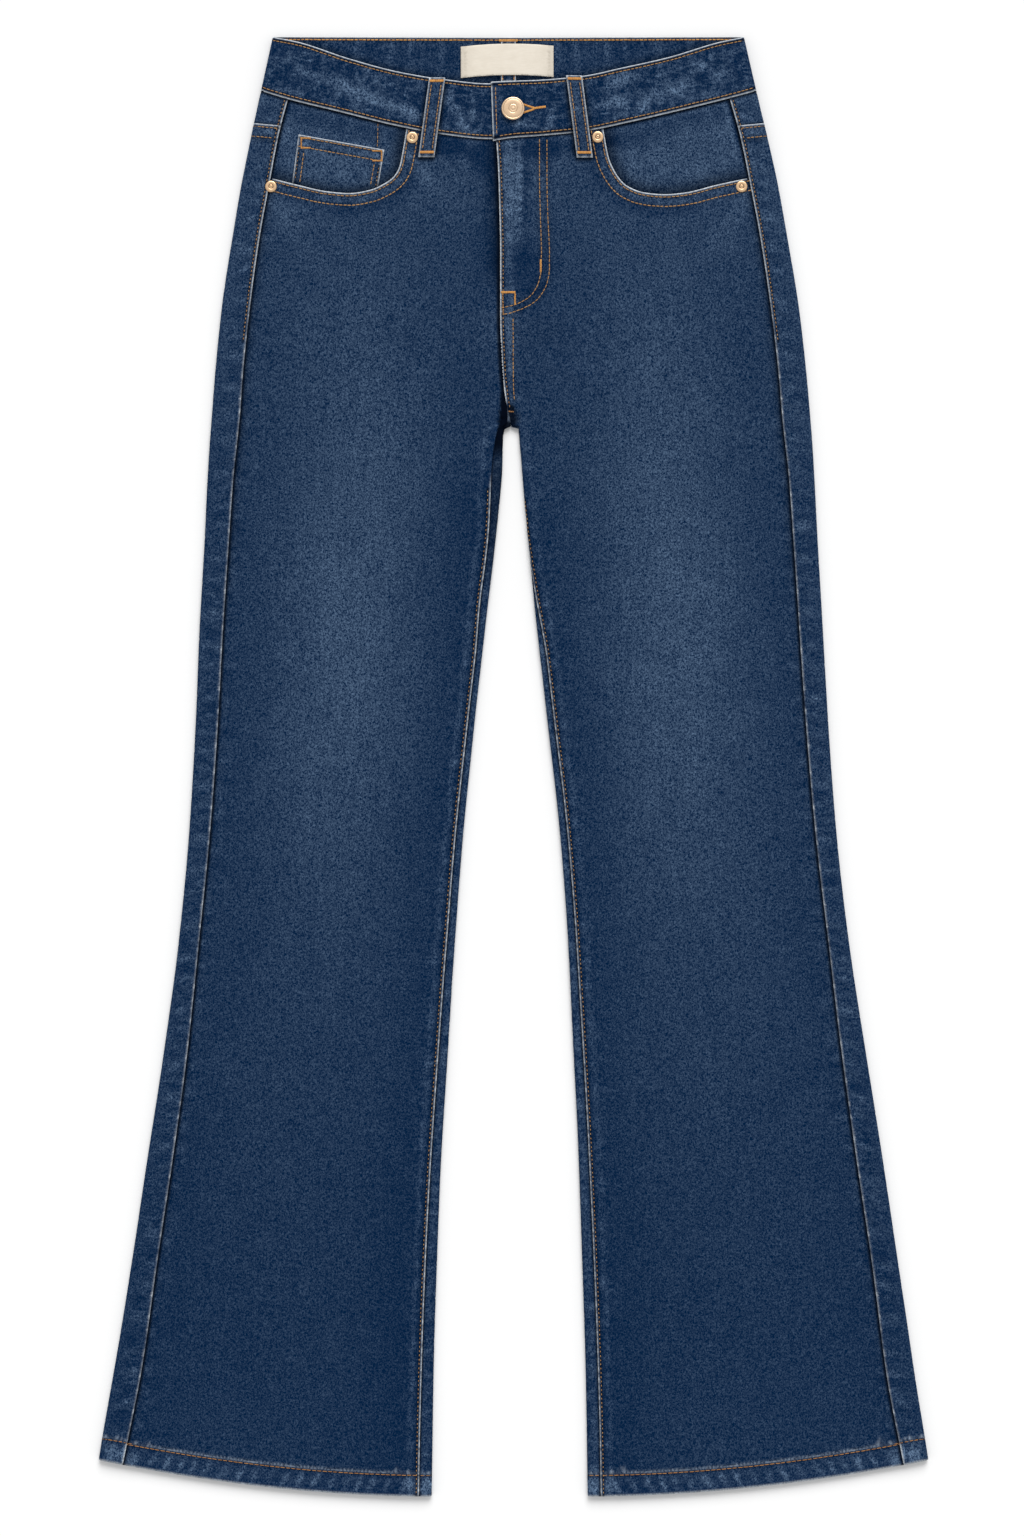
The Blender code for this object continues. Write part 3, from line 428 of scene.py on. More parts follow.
def spread(edges, guides):
    """Points that fill a loop of named edges: rows along each edge and guide, and a net between them."""
    loop, area = outline(edges)
    closed = np.concatenate([loop, loop[:1]])
    found = []
    for name, line in edges.items():
        for away, step in HEM_ROWS if name == "hem" else EDGE_ROWS:
            even = resample(line, step)
            moved = even + np.sign(area) * away * sideways(even)
            keep = (near(moved, closed)[0] > 0.97 * away) & inside(moved, loop)
            found.append(moved[keep])
    for line in guides:
        even = resample(line, GUIDE_STEP)
        keep = (near(even, closed)[0] > EDGE_ROWS[0][0]) & inside(even, loop)
        found.append(even[keep])
    low, high = loop.min(0), loop.max(0)
    xs, ys = np.arange(low[0], high[0], CELL), np.arange(low[1], high[1], CELL * 0.87)
    net = np.array([(x + (CELL / 2 if j % 2 else 0.0), y) for j, y in enumerate(ys) for x in xs])
    net = net[inside(net, loop)]
    net = net[near(net, closed)[0] > EDGE_ROWS[-1][0] + 0.6 * CELL]
    if "hem" in edges:
        net = net[near(net, edges["hem"])[0] > HEM_ROWS[-1][0] + 0.6 * CELL]
    for line in guides[:: max(len(guides) // 4, 1)]:
        net = net[near(net, line)[0] > 0.6 * CELL]
    return loop, closed, np.concatenate([*found, net])


def triangles(edges, guides):
    """Flat points and triangles that fill a loop of named edges."""
    loop, closed, rest = spread(edges, guides)
    _, first = np.unique(np.round(rest / SAME_PLACE).astype(int), axis=0, return_index=True)
    flat = np.concatenate([loop, rest[np.sort(first)]])
    made = delaunay_2d_cdt([tuple(p) for p in flat], [], [list(range(len(loop)))], 1, 1e-4, False)
    points, faces = np.array([(v[0], v[1]) for v in made[0]]), np.array(made[2])
    doubtful = (near(points, closed)[0] < 0.05)[faces].all(1)
    keep = ~doubtful
    keep[doubtful] = inside(points[faces].mean(1)[doubtful], loop)
    return points, faces[keep]


def rim_of(faces):
    """The triangle edges that only one triangle has, as it walks them."""
    pairs = np.concatenate([faces[:, [0, 1]], faces[:, [1, 2]], faces[:, [2, 0]]])
    keys = {tuple(p) for p in pairs}
    return np.array([p for p in pairs if (p[1], p[0]) not in keys])


def sway(x, drop):
    """The garment doesn't lie quite even: how far a place stands over to the garment's left."""
    inner, outer = inner_fold(drop), outer_fold(drop)
    share = np.clip((np.abs(x) - inner) / (outer - inner), 0.0, 1.0)
    return mix(sway_inner(drop), sway_outer(drop), share)


def build(name, points, faces, material, values):
    """A smooth mesh from points in mm, as (x, drop, height)."""
    mesh = bpy.data.meshes.new(name)
    x, drop, height = points.T
    places = np.column_stack([x + sway(x, drop), LENGTH / 2 - drop, height]) * MM
    mesh.from_pydata(places.tolist(), [], faces.tolist())
    mesh.validate()
    for key, value in values.items():
        mesh.attributes.new(key, "FLOAT", "POINT").data.foreach_set("value", value.astype(np.float32))
    mesh.shade_smooth()
    mesh.set_sharp_from_angle(angle=math.radians(50.0))
    made = bpy.data.objects.new(name, mesh)
    made.data.materials.append(material)
    bpy.context.scene.collection.objects.link(made)
    return made


class Cloth:
    """A cut piece of cloth: its named edges in the flat, where it lies, its relief and its colour."""

    def __init__(self, side, edges, lay, relief=None, tint=None, ply=PLY, guides=()):
        self.sign, self.side = SIGN[side], side
        self.edges, self.lay, self.relief, self.tint, self.ply = edges, lay, relief, tint, ply
        self.guides, self.rows = list(guides), []

    def row(self, thread, line, pitch=3.2, share=0.82, width=0.66, lift=0.2, dark=0.6):
        """Plans a row of stitches along a flat line. It sinks in, its groove gets painted shade as dark as
        dark says, and it is sewn once the piece is made.
        """
        line = resample(line, 1.5)
        beside = 0.9 * sideways(line)
        self.guides += [line, line + beside, line - beside]
        self.rows.append((thread, line, dark, (pitch, share, width, lift)))

    def groove(self, flat):
        """Along the planned rows of stitches: how far the cloth sinks in (0 to 1), and how dark the painted
        shade in the groove is.
        """
        depth, shade = np.zeros(len(flat)), np.zeros(len(flat))
        for _, line, dark, _ in self.rows:
            here = bell(near(flat, line)[0], 0.8)
            depth, shade = np.maximum(depth, here), np.maximum(shade, dark * here)
        return depth, shade

    def inset(self, name, away, low=0.0, high=math.inf):
        """A line in from a named edge, from low to high mm along that edge."""
        even = resample(self.edges[name], 2.0)
        moved = even + np.sign(outline(self.edges)[1]) * away * sideways(even)
        at = lengths(even)
        return moved[(at >= low) & (at <= high)]

    def distances(self, flat):
        return {name: near(flat, line) for name, line in self.edges.items()}

    def outer(self, flat, lift=0.0):
        """Places (x, drop, height) and normals of the outer face."""
        a, drop = flat[:, 0], flat[:, 1]
        x, z, out, up, *moved = self.lay(a, drop)
        drop = moved[0] if moved else drop
        rise = self.relief(self, flat, self.distances(flat)) if self.relief else 0.0
        rise = lift + (rise - 0.2 * self.groove(flat)[0]) * np.abs(up)
        places = np.column_stack([self.sign * (x + out * rise), drop, z + up * rise])
        return places, np.column_stack([self.sign * out, 0.0 * out, up])

    def make(self, node, on, material=None, slot="denim", ending="cloth"):
        """Makes the piece, sews its rows and settles it in its node's place."""
        flat, faces = triangles(self.edges, self.guides)
        far = self.distances(flat)
        places, normals = self.outer(flat)
        ply = self.ply(self, flat, far) if callable(self.ply) else self.ply
        inner = places - normals * np.broadcast_to(ply, len(flat))[:, None]
        count = len(flat)
        a, b, c = faces.T
        way = np.cross(places[b] - places[a], places[c] - places[a])
        if np.median((way * normals[a]).sum(1)) > 0:  # drop runs against Y
            faces = faces[:, ::-1]
        rim = rim_of(faces)
        walls = [(q, p, p + count) for p, q in rim] + [(q, p + count, q + count) for p, q in rim]
        every = np.concatenate([faces, faces[:, ::-1] + count, np.array(walls)])
        values = self.tint(self, flat, far, places) if self.tint else {}
        # painted shade from the tint, at least as dark as the painted shade in the stitch grooves; the inner
        # face keeps all of it
        if "deep" in values:
            values["deep"] = np.clip(np.maximum(values["deep"], self.groove(flat)[1]), 0.0, 1.0)
        shades = {key: 1.0 if key == "deep" else INSIDE_SHADE for key in values}
        both = {key: np.concatenate([v, v * shades[key]]) for key, v in values.items()}
        both["reverse"] = np.concatenate([np.zeros(count), 1.0 - values.get("deep", np.zeros(count))])
        points = np.concatenate([places, inner])
        made = build(f"{node}_{ending}", points, every, material or denim(), both)
        for thread, line, _, how in self.rows:
            thread.sew(self, line, *how)
        settle(made, node, self.edges)


def settle(made, node, edges):
    """Puts a piece of cloth in its node's place under the root, and hides the imported part it stands for."""
    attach(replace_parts(made, node), "root")
    loop, area = outline(edges)


def level(height, middle=0.0, up=1.0):
    """Lays a piece flat about x = middle, facing up or down: height is a number or reads (a, drop)."""

    def lay(a, drop):
        z = height(a, drop) if callable(height) else height
        return a + middle, z + 0.0 * a, 0.0 * a, up + 0.0 * a

    return lay


def from_edges(far, *names):
    """How far a place lies from the nearest of some named edges, or of all."""
    return least(*(far[name][0] for name in names or far))


def look(fade, worn, deep, uneven):
    """What the denim's material reads at each point: fade with some painted highlight and shade in it, wear,
    painted shade, and patchiness.
    """
    values = {"fade": fade, "worn": worn, "deep": deep, "uneven": uneven}
    return {key: value + 0.0 * fade for key, value in values.items()}


def ripple(far, edge, height, period, seed, slant, away, width):
    """A low uneven wave beside a named edge."""
    d, s = far[edge]
    return height * wander(s + slant * d, period, seed) * bell(d - away, width)


def ticks(s, period, seed):
    """Short uneven puckers along s, between 0 and 1."""
    return np.clip(wander(s, period, seed), 0.0, 1.0) ** 1.4


def marked(x, drop, marks):
    """Soft patches, listed one by one: x, drop, length, width, angle in degrees, strength."""
    total = 0.0 * x
    for at_x, at_drop, long, wide, angle, strength in marks:
        c, s = math.cos(math.radians(angle)), math.sin(math.radians(angle))
        along = (x - at_x) * c + (drop - at_drop) * s
        across = (drop - at_drop) * c - (x - at_x) * s
        total = total + strength * np.exp(-((along / long) ** 2) - (across / wide) ** 2)
    return total


def rounded(d, radius=ROUND):
    """How much lower a turned edge's face is at distance d from the edge."""
    t = 1.0 - np.clip(d / radius, 0.0, 1.0)
    return radius * (1.0 - np.sqrt(np.maximum(1.0 - t * t, 0.0)))


# ---------------------------------------------------------------- fronts

# A term of a relief or a tint reads: strength * pattern(along the edge, period, seed) * bell(d - at, width),
# where d is the distance in from a named edge and at is how far in the term is strongest, all in mm.


def line_of(place, drops):
    """A flat line with place(drop) at each drop."""
    return np.column_stack([place(drops), drops])


def front_edges(side):
    """The front's flat outline: fly and inseam, hem, outseam, pocket mouth, waist seam."""
    slip = FLY_SLIP[side]

    def inner(drop):
        """The right front runs on under the left one down to the fly's foot."""
        at_foot = mix(slip, -0.4, ease((drop - FLY_OPEN) / 16.0))
        return inseam_place(drop, front_edge(side, drop), side) + np.where(drop < FLY_OPEN, slip, at_foot)

    def outer(drop):
        return outseam(drop) + RUN_UNDER

    top_in = SIGN[side] * FLY_ROWS[0][1] + slip
    foot_in = inner(np.array(LENGTH))
    drops = np.arange(front_seam[side](top_in), LENGTH, LEG_STEP)
    fly = line_of(inner, np.unique(np.concatenate([drops[:-1], CROTCH_DROPS, [LENGTH]])))
    end = LENGTH
    for _ in range(5):  # where the outseam meets the hem
        end = hem_line(outer(end))
    xs = np.linspace(float(foot_in), float(outer(end)), 100)
    hem = np.column_stack([xs, hem_line(xs)])
    mouth = pocket_mouth(side)
    out_drops = np.linspace(float(hem[-1, 1]), mouth[-1, 1], 380)
    side_line = line_of(outer, out_drops)
    mouth_line = resample(mouth[::-1], POCKET_STEP)
    mouth_line[0] = side_line[-1]
    waist_x = np.arange(mouth_line[-1, 0], fly[0, 0], -2.4)
    waist = np.column_stack([waist_x, front_seam[side](waist_x)])
    waist[0], waist = mouth_line[-1], np.append(waist, fly[:1], axis=0)
    return {"inner": fly, "hem": hem, "outer": side_line, "mouth": mouth_line, "waist": waist}


FRONT_RIPPLES = (  # edge, height, period, seed, slant, distance in, width
    ("outer", 0.3, 14, 4, 0.5, 3, 7),
    ("inner", 0.3, 15, 2, -0.4, 4, 7),
    ("mouth", 0.22, 9, 5, 0, 5.6, 3),
    ("waist", 0.25, 13, 6, 0, 4, 9),
)


def front_relief(cloth, flat, far):
    a, drop = flat.T
    below = ease((drop - 285.0) / 12.0)
    d_in, d_mouth, d_hem = far["inner"][0], far["mouth"][0], far["hem"][0]
    rise = 0.75 * below * ledge(d_in, 1.0, 2.0)
    if cloth.side == "left":
        rise += 0.35 * (1.0 - below) * ledge(d_in, 1.0, 1.8)
    rise -= 1.5 * in_notch(cloth.side, a, drop)
    rise += marked(SIGN[cloth.side] * a, drop, CREASES)
    rise -= 0.4 * bell(far["outer"][0], 2.6)
    rise += 0.35 * ledge(d_mouth, 1.0, 2.0)
    rise -= 0.35 * bell(far["waist"][0], 3.0)
    rise += hem_rise(*far["hem"])
    for how in FRONT_RIPPLES:
        rise += ripple(far, *how)
    free = np.minimum(d_mouth, d_in if cloth.side == "left" else np.where(drop > CROTCH - 20, d_in, 9.0))
    return rise - rounded(free) - 0.9 * rounded(d_hem, 0.9)


def hem_rise(d_hem, s_hem):
    """The turned-up hem: a raised band that ropes between its stitches and its foot."""
    on_hem = ease((HEM_DEPTH + 1.4 - d_hem) / 1.1)
    return on_hem * (0.45 + 0.4 * (hem_rope(d_hem, s_hem) - 0.4) * bell(d_hem - 7.5, 5.0))


def hem_rope(d_hem, s_hem):
    """Slanting ticks along the hem, between 0 and 1."""
    slant = s_hem + 0.45 * d_hem + 2.5 * wander(s_hem, 70.0, 5.0)
    tick = np.clip(np.sin(2 * math.pi * slant / HEM_ROPE), 0.0, 1.0) ** 3
    return tick * (0.65 + 0.35 * wander(s_hem, 31.0, 3.0))


def hem_fade(d_hem, s_hem):
    """Pale marks on the hem's roping, and a pale line above its stitches."""
    return 3.0 * hem_rope(d_hem, s_hem) * bell(d_hem - 8.0, 4.8) + 1.3 * bell(d_hem - 17.7, 0.8)


def hem_ply(cloth, flat, far):
    on_hem = ease((HEM_DEPTH + 0.6 - far["hem"][0]) / 1.0)
    return PLY + 1.1 * on_hem - 1.5 * rounded(far["hem"][0], 0.9)


def leg_fade_and_painted_shade(x, drop):
    """How faded the cloth is: most on the thighs and least at the hems, with painted shade towards the seams
    of the legs.
    """
    away, left = np.abs(x), ease(x / 8.0 + 0.5)
    middle = mix(104.0, 160.0, np.clip((drop - 150.0) / 900.0, 0.0, 1.0))
    fade = 0.065 + 0.13 * ease((1000.0 - drop) / 300.0) + 0.26 * ease((420.0 - drop) / 380.0) + 0.03 * left
    fade -= 0.17 * bell(away, 75.0) * ease((drop - 120.0) / 60.0) * ease((330.0 - drop) / 60.0)
    fade += 0.77 * bell(away - middle, 52.0) * bell(drop - 440.0, 200.0)
    # painted shade: darker towards the inseam, and a little towards the outseam
    inner = mix(0.24 + 0.14 * bell(drop - 330.0, 70.0), 0.20, left)
    inner = inner * ease((drop - 270.0 - 30.0 * left) / 90.0)
    return fade - inner * bell(away - inseam(drop), 36.0) - 0.10 * bell(away - outseam(drop), 26.0)


NOTCH_COLUMNS = ("drop", "x")
# the hollow is painted dark with shade
NOTCH_ROWS = {  # the dark hollow where the fronts part, as a half-width on each side
    "right": [(256.0, 3.6), (262.0, 5.2), (268.5, 7.1), (282.5, 8.6), (292.5, 9.6), (300.0, 10.0)],
    "left": [(274.0, 0.0), (277.0, 2.6), (284.0, 4.4), (292.5, 5.6), (300.0, 6.0)],
}


def in_notch(side, a, drop):
    """1 in the hollow above the crotch, 0 outside it."""
    border = bent(NOTCH_ROWS[side], NOTCH_COLUMNS, "drop", "x")(drop)
    start = NOTCH_ROWS[side][0][0]
    return ease((border - a) / 1.6 + 0.5) * ease((drop - start) / 4.0) * ease((304.0 - drop) / 4.0)


CREASES = (  # x, drop, length, width, angle, height
    (-60, 262, 34, 5, -22, 0.5), (-52, 284, 28, 4.5, -30, 0.4), (58, 258, 36, 5, 24, 0.5),
    (50, 282, 26, 4.5, 32, 0.4), (-150, 150, 30, 5.5, 62, 0.4), (152, 150, 30, 5.5, -62, 0.4),
    (-34, 100, 18, 3.5, 62, 0.35), (-24, 112, 20, 3.5, 72, 0.3),
)
# the dark marks at x -46 and -20, under the band beside the right front loop, are painted shadow
FRONT_MARKS = (  # x, drop, length, width, angle, strength
    (-170, 136, 22, 4.5, 66, 0.5), (-160, 140, 26, 4, 60, 0.35), (-180, 128, 16, 3.5, 80, 0.35),
    (170, 136, 22, 4.5, -66, 0.4), (160, 142, 26, 4, -60, 0.3), (-34, 96, 16, 3, 62, 0.5),
    (-22, 104, 16, 3, 75, 0.4), (-44, 100, 18, 3, 50, 0.3), (-1.5, 108, 34, 4.6, 90, 1.15),
    (-1, 132, 12, 3.2, 90, 0.5), (6.4, 108, 32, 1.4, 90, 2.6), (10.8, 112, 38, 2.6, 90, -0.6),
    (22, 120, 34, 3, 90, 0.25), (11, 168, 14, 14, 0, -0.45), (0.2, 222, 36, 2.4, 90, 1.3),
    (-1, 150, 4, 3, 0, 0.8), (-0.5, 160, 4, 2.4, 0, 0.6), (-1.5, 171, 4, 2.6, 0, 0.5),
    (12, 190, 14, 10, 0, -0.3), (-5.2, 206, 14, 1.8, 84, 0.5), (40, 84, 12, 4, 80, 0.3),
    (26, 82, 26, 8, -5, -0.9), (62, 80, 10, 10, 0, -0.6), (-46, 81, 15, 8, 8, -1.2),
    (-20, 92, 10, 14, 0, -0.7), (-69, 98, 14, 4, 62, 0.9), (-57, 112, 22, 6, 58, 0.3),
)


def front_tint(cloth, flat, far, places):
    x, drop = places[:, 0], places[:, 1]
    (d_in, s_in), (d_out, s_out), d_hem = far["inner"], far["outer"], far["hem"][0]
    (d_mouth, s_mouth), (d_waist, s_waist) = far["mouth"], far["waist"]
    left = cloth.side == "left"
    leg = ease((drop - 285.0) / 14.0)
    fade = leg_fade_and_painted_shade(x, drop) + marked(x, drop, FRONT_MARKS + HEM_MARKS)
    pale = 7.4 + 0.7 * wander(s_in, 43.0, 3.0)
    fade += leg * bell(d_in - pale, 1.4) * (0.34 if left else 0.5)
    fade += 0.55 * ticks(s_in, 15.0, 2.0) * leg * bell(d_in - 5.6, 2.6)
    fade -= 0.16 * leg * bell(d_in - 3.6, 1.8)
    fade += 0.40 * ticks(s_out, 14.0, 4.0) * bell(d_out - 6.5, 3.4)
    fade += bell(d_mouth - 5.6, 2.6) * (0.05 + 0.8 * ticks(s_mouth, 9.0, 5.0))
    fade -= 0.5 * bell(d_mouth - 12.5, 4.5) * ease((158.0 - np.abs(x)) / 30.0)
    # a painted highlight on the roll just below the waist seam, puckers below it, then painted shade further
    # down
    fade += 0.4 * bell(d_waist - 4.3, 1.5) + 0.55 * ticks(s_waist, 13.0, 6.0) * bell(d_waist - 7.0, 6.0)
    fade -= 0.25 * bell(d_waist - 11.0, 6.0)
    fade += hem_fade(*far["hem"])
    # painted shade: dark lines beside the outseam and under the waistband, soft shade down the outseam, a
    # line above the hem's ridge, the hollow above the crotch, and beside the front loops
    deep = [
        0.97 * ledge(d_out, 3.0, 0.8) * ease((1080.0 - drop) / 8.0),
        (0.15 + 0.3 * ease((450.0 - drop) / 100.0)) * bell(d_out - 2.0, 4.5),
        0.9 * ledge(d_waist, 1.6, 0.9),
        0.4 * bell(d_hem - 18.4, 0.9),
        in_notch(cloth.side, np.abs(x), drop) * (0.92 if left else 0.99),
        loop_shadow(x, drop),
    ]
    if left:
        fade += 0.6 * (1.0 - leg) * ticks(s_in, 12.0, 7.0) * bell(d_in - 7.0, 4.0)
        below = ease((drop - 322.0) / 24.0) * (0.55 + 0.3 * wander(s_in, 7.0, 9.0))
        worn = edge_worn(d_in) * np.maximum(ease((277.0 - drop) / 6.0), below)
    else:
        # painted shade on the right front beside the fly lap: here in the fade, and below as dark lines
        fade -= 0.5 * ease((196.0 - drop) / 30.0) * bell(d_in - 3.0, 14.0)
        fade += 0.25 * bell(drop - 212.0, 26.0) * bell(d_in - 8.0, 9.0)
        worn = edge_worn(d_in) * ease((drop - 326.0) / 16.0) * (0.7 + 0.3 * wander(s_in, 7.0, 9.0))
        deep.append(ledge(d_in, 4.2, 0.9) * ease((286.0 - drop) / 16.0))
        deep.append(0.6 * bell(d_in - 3.0, 6.5) * ease((200.0 - drop) / 30.0))
    worn, deep = most(worn, edge_worn(d_mouth), hem_worn(*far["hem"])), most(*deep)
    near_seam = from_edges(far, "inner", "outer", "waist", "mouth")
    uneven = 0.10 + 0.35 * bell(near_seam, 16.0) + 0.25 * ease((HEM_DEPTH - d_hem) / 2.0)
    uneven += 0.3 * bell(x - 8.0, 16.0) * ease((200.0 - drop) / 20.0)
    return look(fade, worn * (1.0 - deep), deep, uneven)


def hem_worn(d_hem, s_hem):
    """Pale cloth at the hem's foot and along the ridge above its stitches."""
    ridge = 0.3 * bell(d_hem - 17.5, 0.55) * (0.8 + 0.2 * wander(s_hem, 26.0, 4.0))
    return np.maximum(0.6 * ledge(d_hem, 0.4, 0.6), ridge)


# the last number is how dark the painted shade in a row's groove is
SEWN = {  # pitch, share of it that a stitch fills, width, how far it stands up, how dark its groove is
    "inseam": (3.2, 0.42, 0.5, 0.2, 0.9),
    "fly": (3.0, 0.5, 0.54, 0.2, 0.9),
    "outseam": (3.0, 0.5, 0.56, 0.2, 0.9),
    "front_hem": (4.0, 0.84, 0.56, 0.15, 0.8),
    "back_hem": (4.0, 0.84, 0.56, 0.05, 0.8),
    "facing": (3.0, 0.75, 0.5, 0.1, 0.6),
    "coin_edge": (3.0, 0.4, 0.45, 0.2, 0.9),
}
INSEAM_ROW_FROM = {"right": 266.0, "left": 272.0}  # mm along the front's inner edge
ROWS_IN = {"mouth": (2.2, 9.2), "yoke": (2.2, 9.4), "back_seam": (2.2, 8.6), "coin_head": (1.9, 8.8)}
FLY_ROW_TO, BACK_SEAM_ROWS_TO = CROTCH - 88.0, CROTCH - YOKE_AT_BACK - 24.0


def make_front(side, tan, rust):
    def lay(a, drop):
        x, z, out, up = lay_upper(a, drop, front_edge(side, drop))
        return x, z + fly_step(side, x, drop), out, up

    cloth = Cloth(side, front_edges(side), lay, front_relief, front_tint, hem_ply)
    cloth.row(tan, cloth.inset("inner", 2.1, INSEAM_ROW_FROM[side]), *SEWN["inseam"])
    for away, width in zip(ROWS_IN["mouth"], (0.66, 0.74)):
        cloth.row(tan, cloth.inset("mouth", away), width=width)
    cloth.row(rust, cloth.inset("hem", HEM_STITCH), *SEWN["front_hem"])
    if side == "left":
        cloth.row(tan, cloth.inset("inner", 2.2, 0.0, FLY_ROW_TO), *SEWN["fly"])
        for points in (J_OUTER, J_INNER, CROTCH_ROW):
            cloth.row(tan, smooth(points))
    cloth.make(f"front_{side}", [f"back_{side}_cloth", f"pocket_facing_{side}_cloth"])
    return cloth


def sew_fly(front, orange, rust):
    """The bars that hold the fly: at its foot, on its curve and above the crotch."""
    for start, end, across, count in FLY_BARS:
        orange.tack(front, start, end, across, count)
    rust.tack(front, *CROTCH_BAR)


J_OUTER = [
    (27.4, 75.8), (27.4, 107.2), (28.1, 137.2), (29.2, 159.8), (29.2, 174.8), (27.4, 185.2), (23.6, 192.8),
    (18.4, 198.8), (10.9, 203.2), (3.4, 206.2), (-1.9, 207.8), (-7.4, 208.8),
]
J_INNER = [
    (21.8, 75.8), (21.8, 107.2), (22.5, 137.2), (23.2, 159.8), (23.2, 171), (22.1, 180.8), (19.1, 189),
    (14.6, 195), (8.6, 198.8), (2.6, 201.4), (-1.9, 202.5), (-7.6, 203.6),
]
CROTCH_ROW = [(2.0, 210.0), (2.0, 250.0), (2.2, 264.0), (2.8, 273.0)]
FLY_BARS = (  # from, to, how long its threads are, how many
    ((-6.9, 191.8), (3.4, 191.8), 1.7, 22),
    ((3.4, 193.0), (3.4, 201.0), 1.3, 16),
    ((22.7, 167.5), (22.7, 176.5), 1.5, 18),
    ((-5.9, 192.5), (-5.4, 208.5), 0.8, 14),
)
CROTCH_BAR = ((-1.4, 280.8), (1.7, 281.2), 1.0, 5)


# ---------------------------------------------------------------- backs and yokes


def back_inner(drop, side):
    """The back's inner edge in the flat: the centre back seam, then the inseam strip under the front."""
    radius = inner_radius(drop)
    start = inner_line(drop, GAP / 2) + radius
    above = start - crotch_curl(drop) * (math.pi / 2 * radius - GAP / 2)
    below = start - (math.pi * radius - (start - inseam_place(drop, GAP / 2, side))) - RUN_UNDER
    return np.where(drop < CROTCH, above, below)


def back_outer(drop):
    """The back's outer edge in the flat: it laps the front at the outseam."""
    radius = outer_radius(drop)
    start = outer_fold(drop) - radius
    return start + math.pi * radius + start - outseam(drop) + SEAM_LAP


def follow(row_drop, bs):
    """A row of the back piece in the flat, where its drop depends on where it lies."""
    drops = np.full(len(bs), float(CROTCH))
    for _ in range(8):
        x, _, _, up = lay_lower(bs, drops)
        drops = row_drop(x, up > 0.0)
    return drops


def row_between(row_drop, step, side):
    """The same row from the inner edge to the outer edge."""
    low = high = 0.0
    for _ in range(8):
        low = float(row_drop(lay_lower(back_inner(np.array(low), side), np.array(low))[0], False))
        high = float(row_drop(lay_lower(back_outer(np.array(high)), np.array(high))[0], True))
    start, end = float(back_inner(np.array(low), side)), float(back_outer(np.array(high)))
    bs = np.linspace(start, end, int((end - start) / step))
    drops = follow(row_drop, bs)
    drops[0], drops[-1] = low, high
    return np.column_stack([bs, drops])


def side_between(place, start, end, step):
    drops = np.linspace(start, end, max(int(abs(end - start) / step), 2))
    return line_of(place, drops)


def inner_between(side, start, end):
    """The back's inner edge, with close points where the legs part."""
    drops = np.linspace(start, end, int((end - start) / LEG_STEP))
    extra = [drop for drop in CROTCH_DROPS if start < drop < end]
    return line_of(lambda drop: back_inner(drop, side), np.unique(np.concatenate([drops, extra])))


def fold_guides(low, high):
    """Lines round both folds of a back piece, between two drops."""
    drops = np.linspace(low, high, int((high - low) / 8.0) + 2)
    lines = []
    for share in np.linspace(-0.1, 1.1, 9):
        radius = outer_radius(drops)
        lines.append(np.column_stack([outer_fold(drops) - radius + share * math.pi * radius, drops]))
    if high > CROTCH:
        drops = drops[drops > CROTCH]
        for share in np.linspace(-0.1, 1.1, 9):
            radius = inner_radius(drops)
            start = inner_line(drops, GAP / 2) + radius
            lines.append(np.column_stack([start - share * math.pi * radius, drops]))
    return lines


def back_part(side, head_row, foot_row, step, names):
    """The outline of a piece that runs round both folds, from its foot's row and its head's."""
    head, foot = (row_between(row, EDGE_STEP, side) for row in (head_row, foot_row))
    inner = inner_between(side, head[0, 1], foot[0, 1])
    outer = side_between(back_outer, foot[-1, 1], head[-1, 1], step)
    return {"inner": inner, names[0]: foot, "outer": outer, names[1]: head[::-1]}


def back_edges(side):
    def head(x, upper):
        return yoke_seam(x, upper) - SEAM_LAP

    return back_part(side, head, lambda x, upper: hem_line(x), LEG_STEP, ("hem", "yoke"))


def yoke_edges(side):
    def head(x, upper):
        return band_seam(x, upper, side)

    return back_part(side, head, yoke_seam, EDGE_STEP, ("yoke", "waist"))


def back_relief(cloth, flat, far):
    b, drop = flat.T
    d_out, d_yoke = far["outer"][0], far["yoke"][0]
    rise = 0.8 * ledge(d_out, 0.8, 2.0)
    rise += ripple(far, "outer", 0.3, 14.0, 6.0, 0.5, 6.0, 7.0)
    rise -= 0.4 * bell(far["inner"][0], 2.6) * ease((drop - 300.0) / 30.0)
    rise += ripple(far, "inner", 0.25, 15.0, 7.0, 0.0, 6.0, 5.0)
    if "hem" in far:
        rise += hem_rise(*far["hem"]) - 0.9 * rounded(far["hem"][0], 0.9)
        rise += 0.5 * ease((10.6 - d_yoke) / 1.0) - rounded(d_yoke)
    else:
        rise -= 0.3 * bell(d_yoke, 2.6)
        rise -= 0.35 * bell(far["waist"][0], 3.0)
        rise += ripple(far, "waist", 0.25, 13.0, 3.0, 0.0, 6.0, 7.0)
    _, z, _, up = cloth.lay(b, drop)
    room = np.where(up < -0.2, z - 0.2, 9.0)
    return np.minimum(rise - rounded(d_out), room)


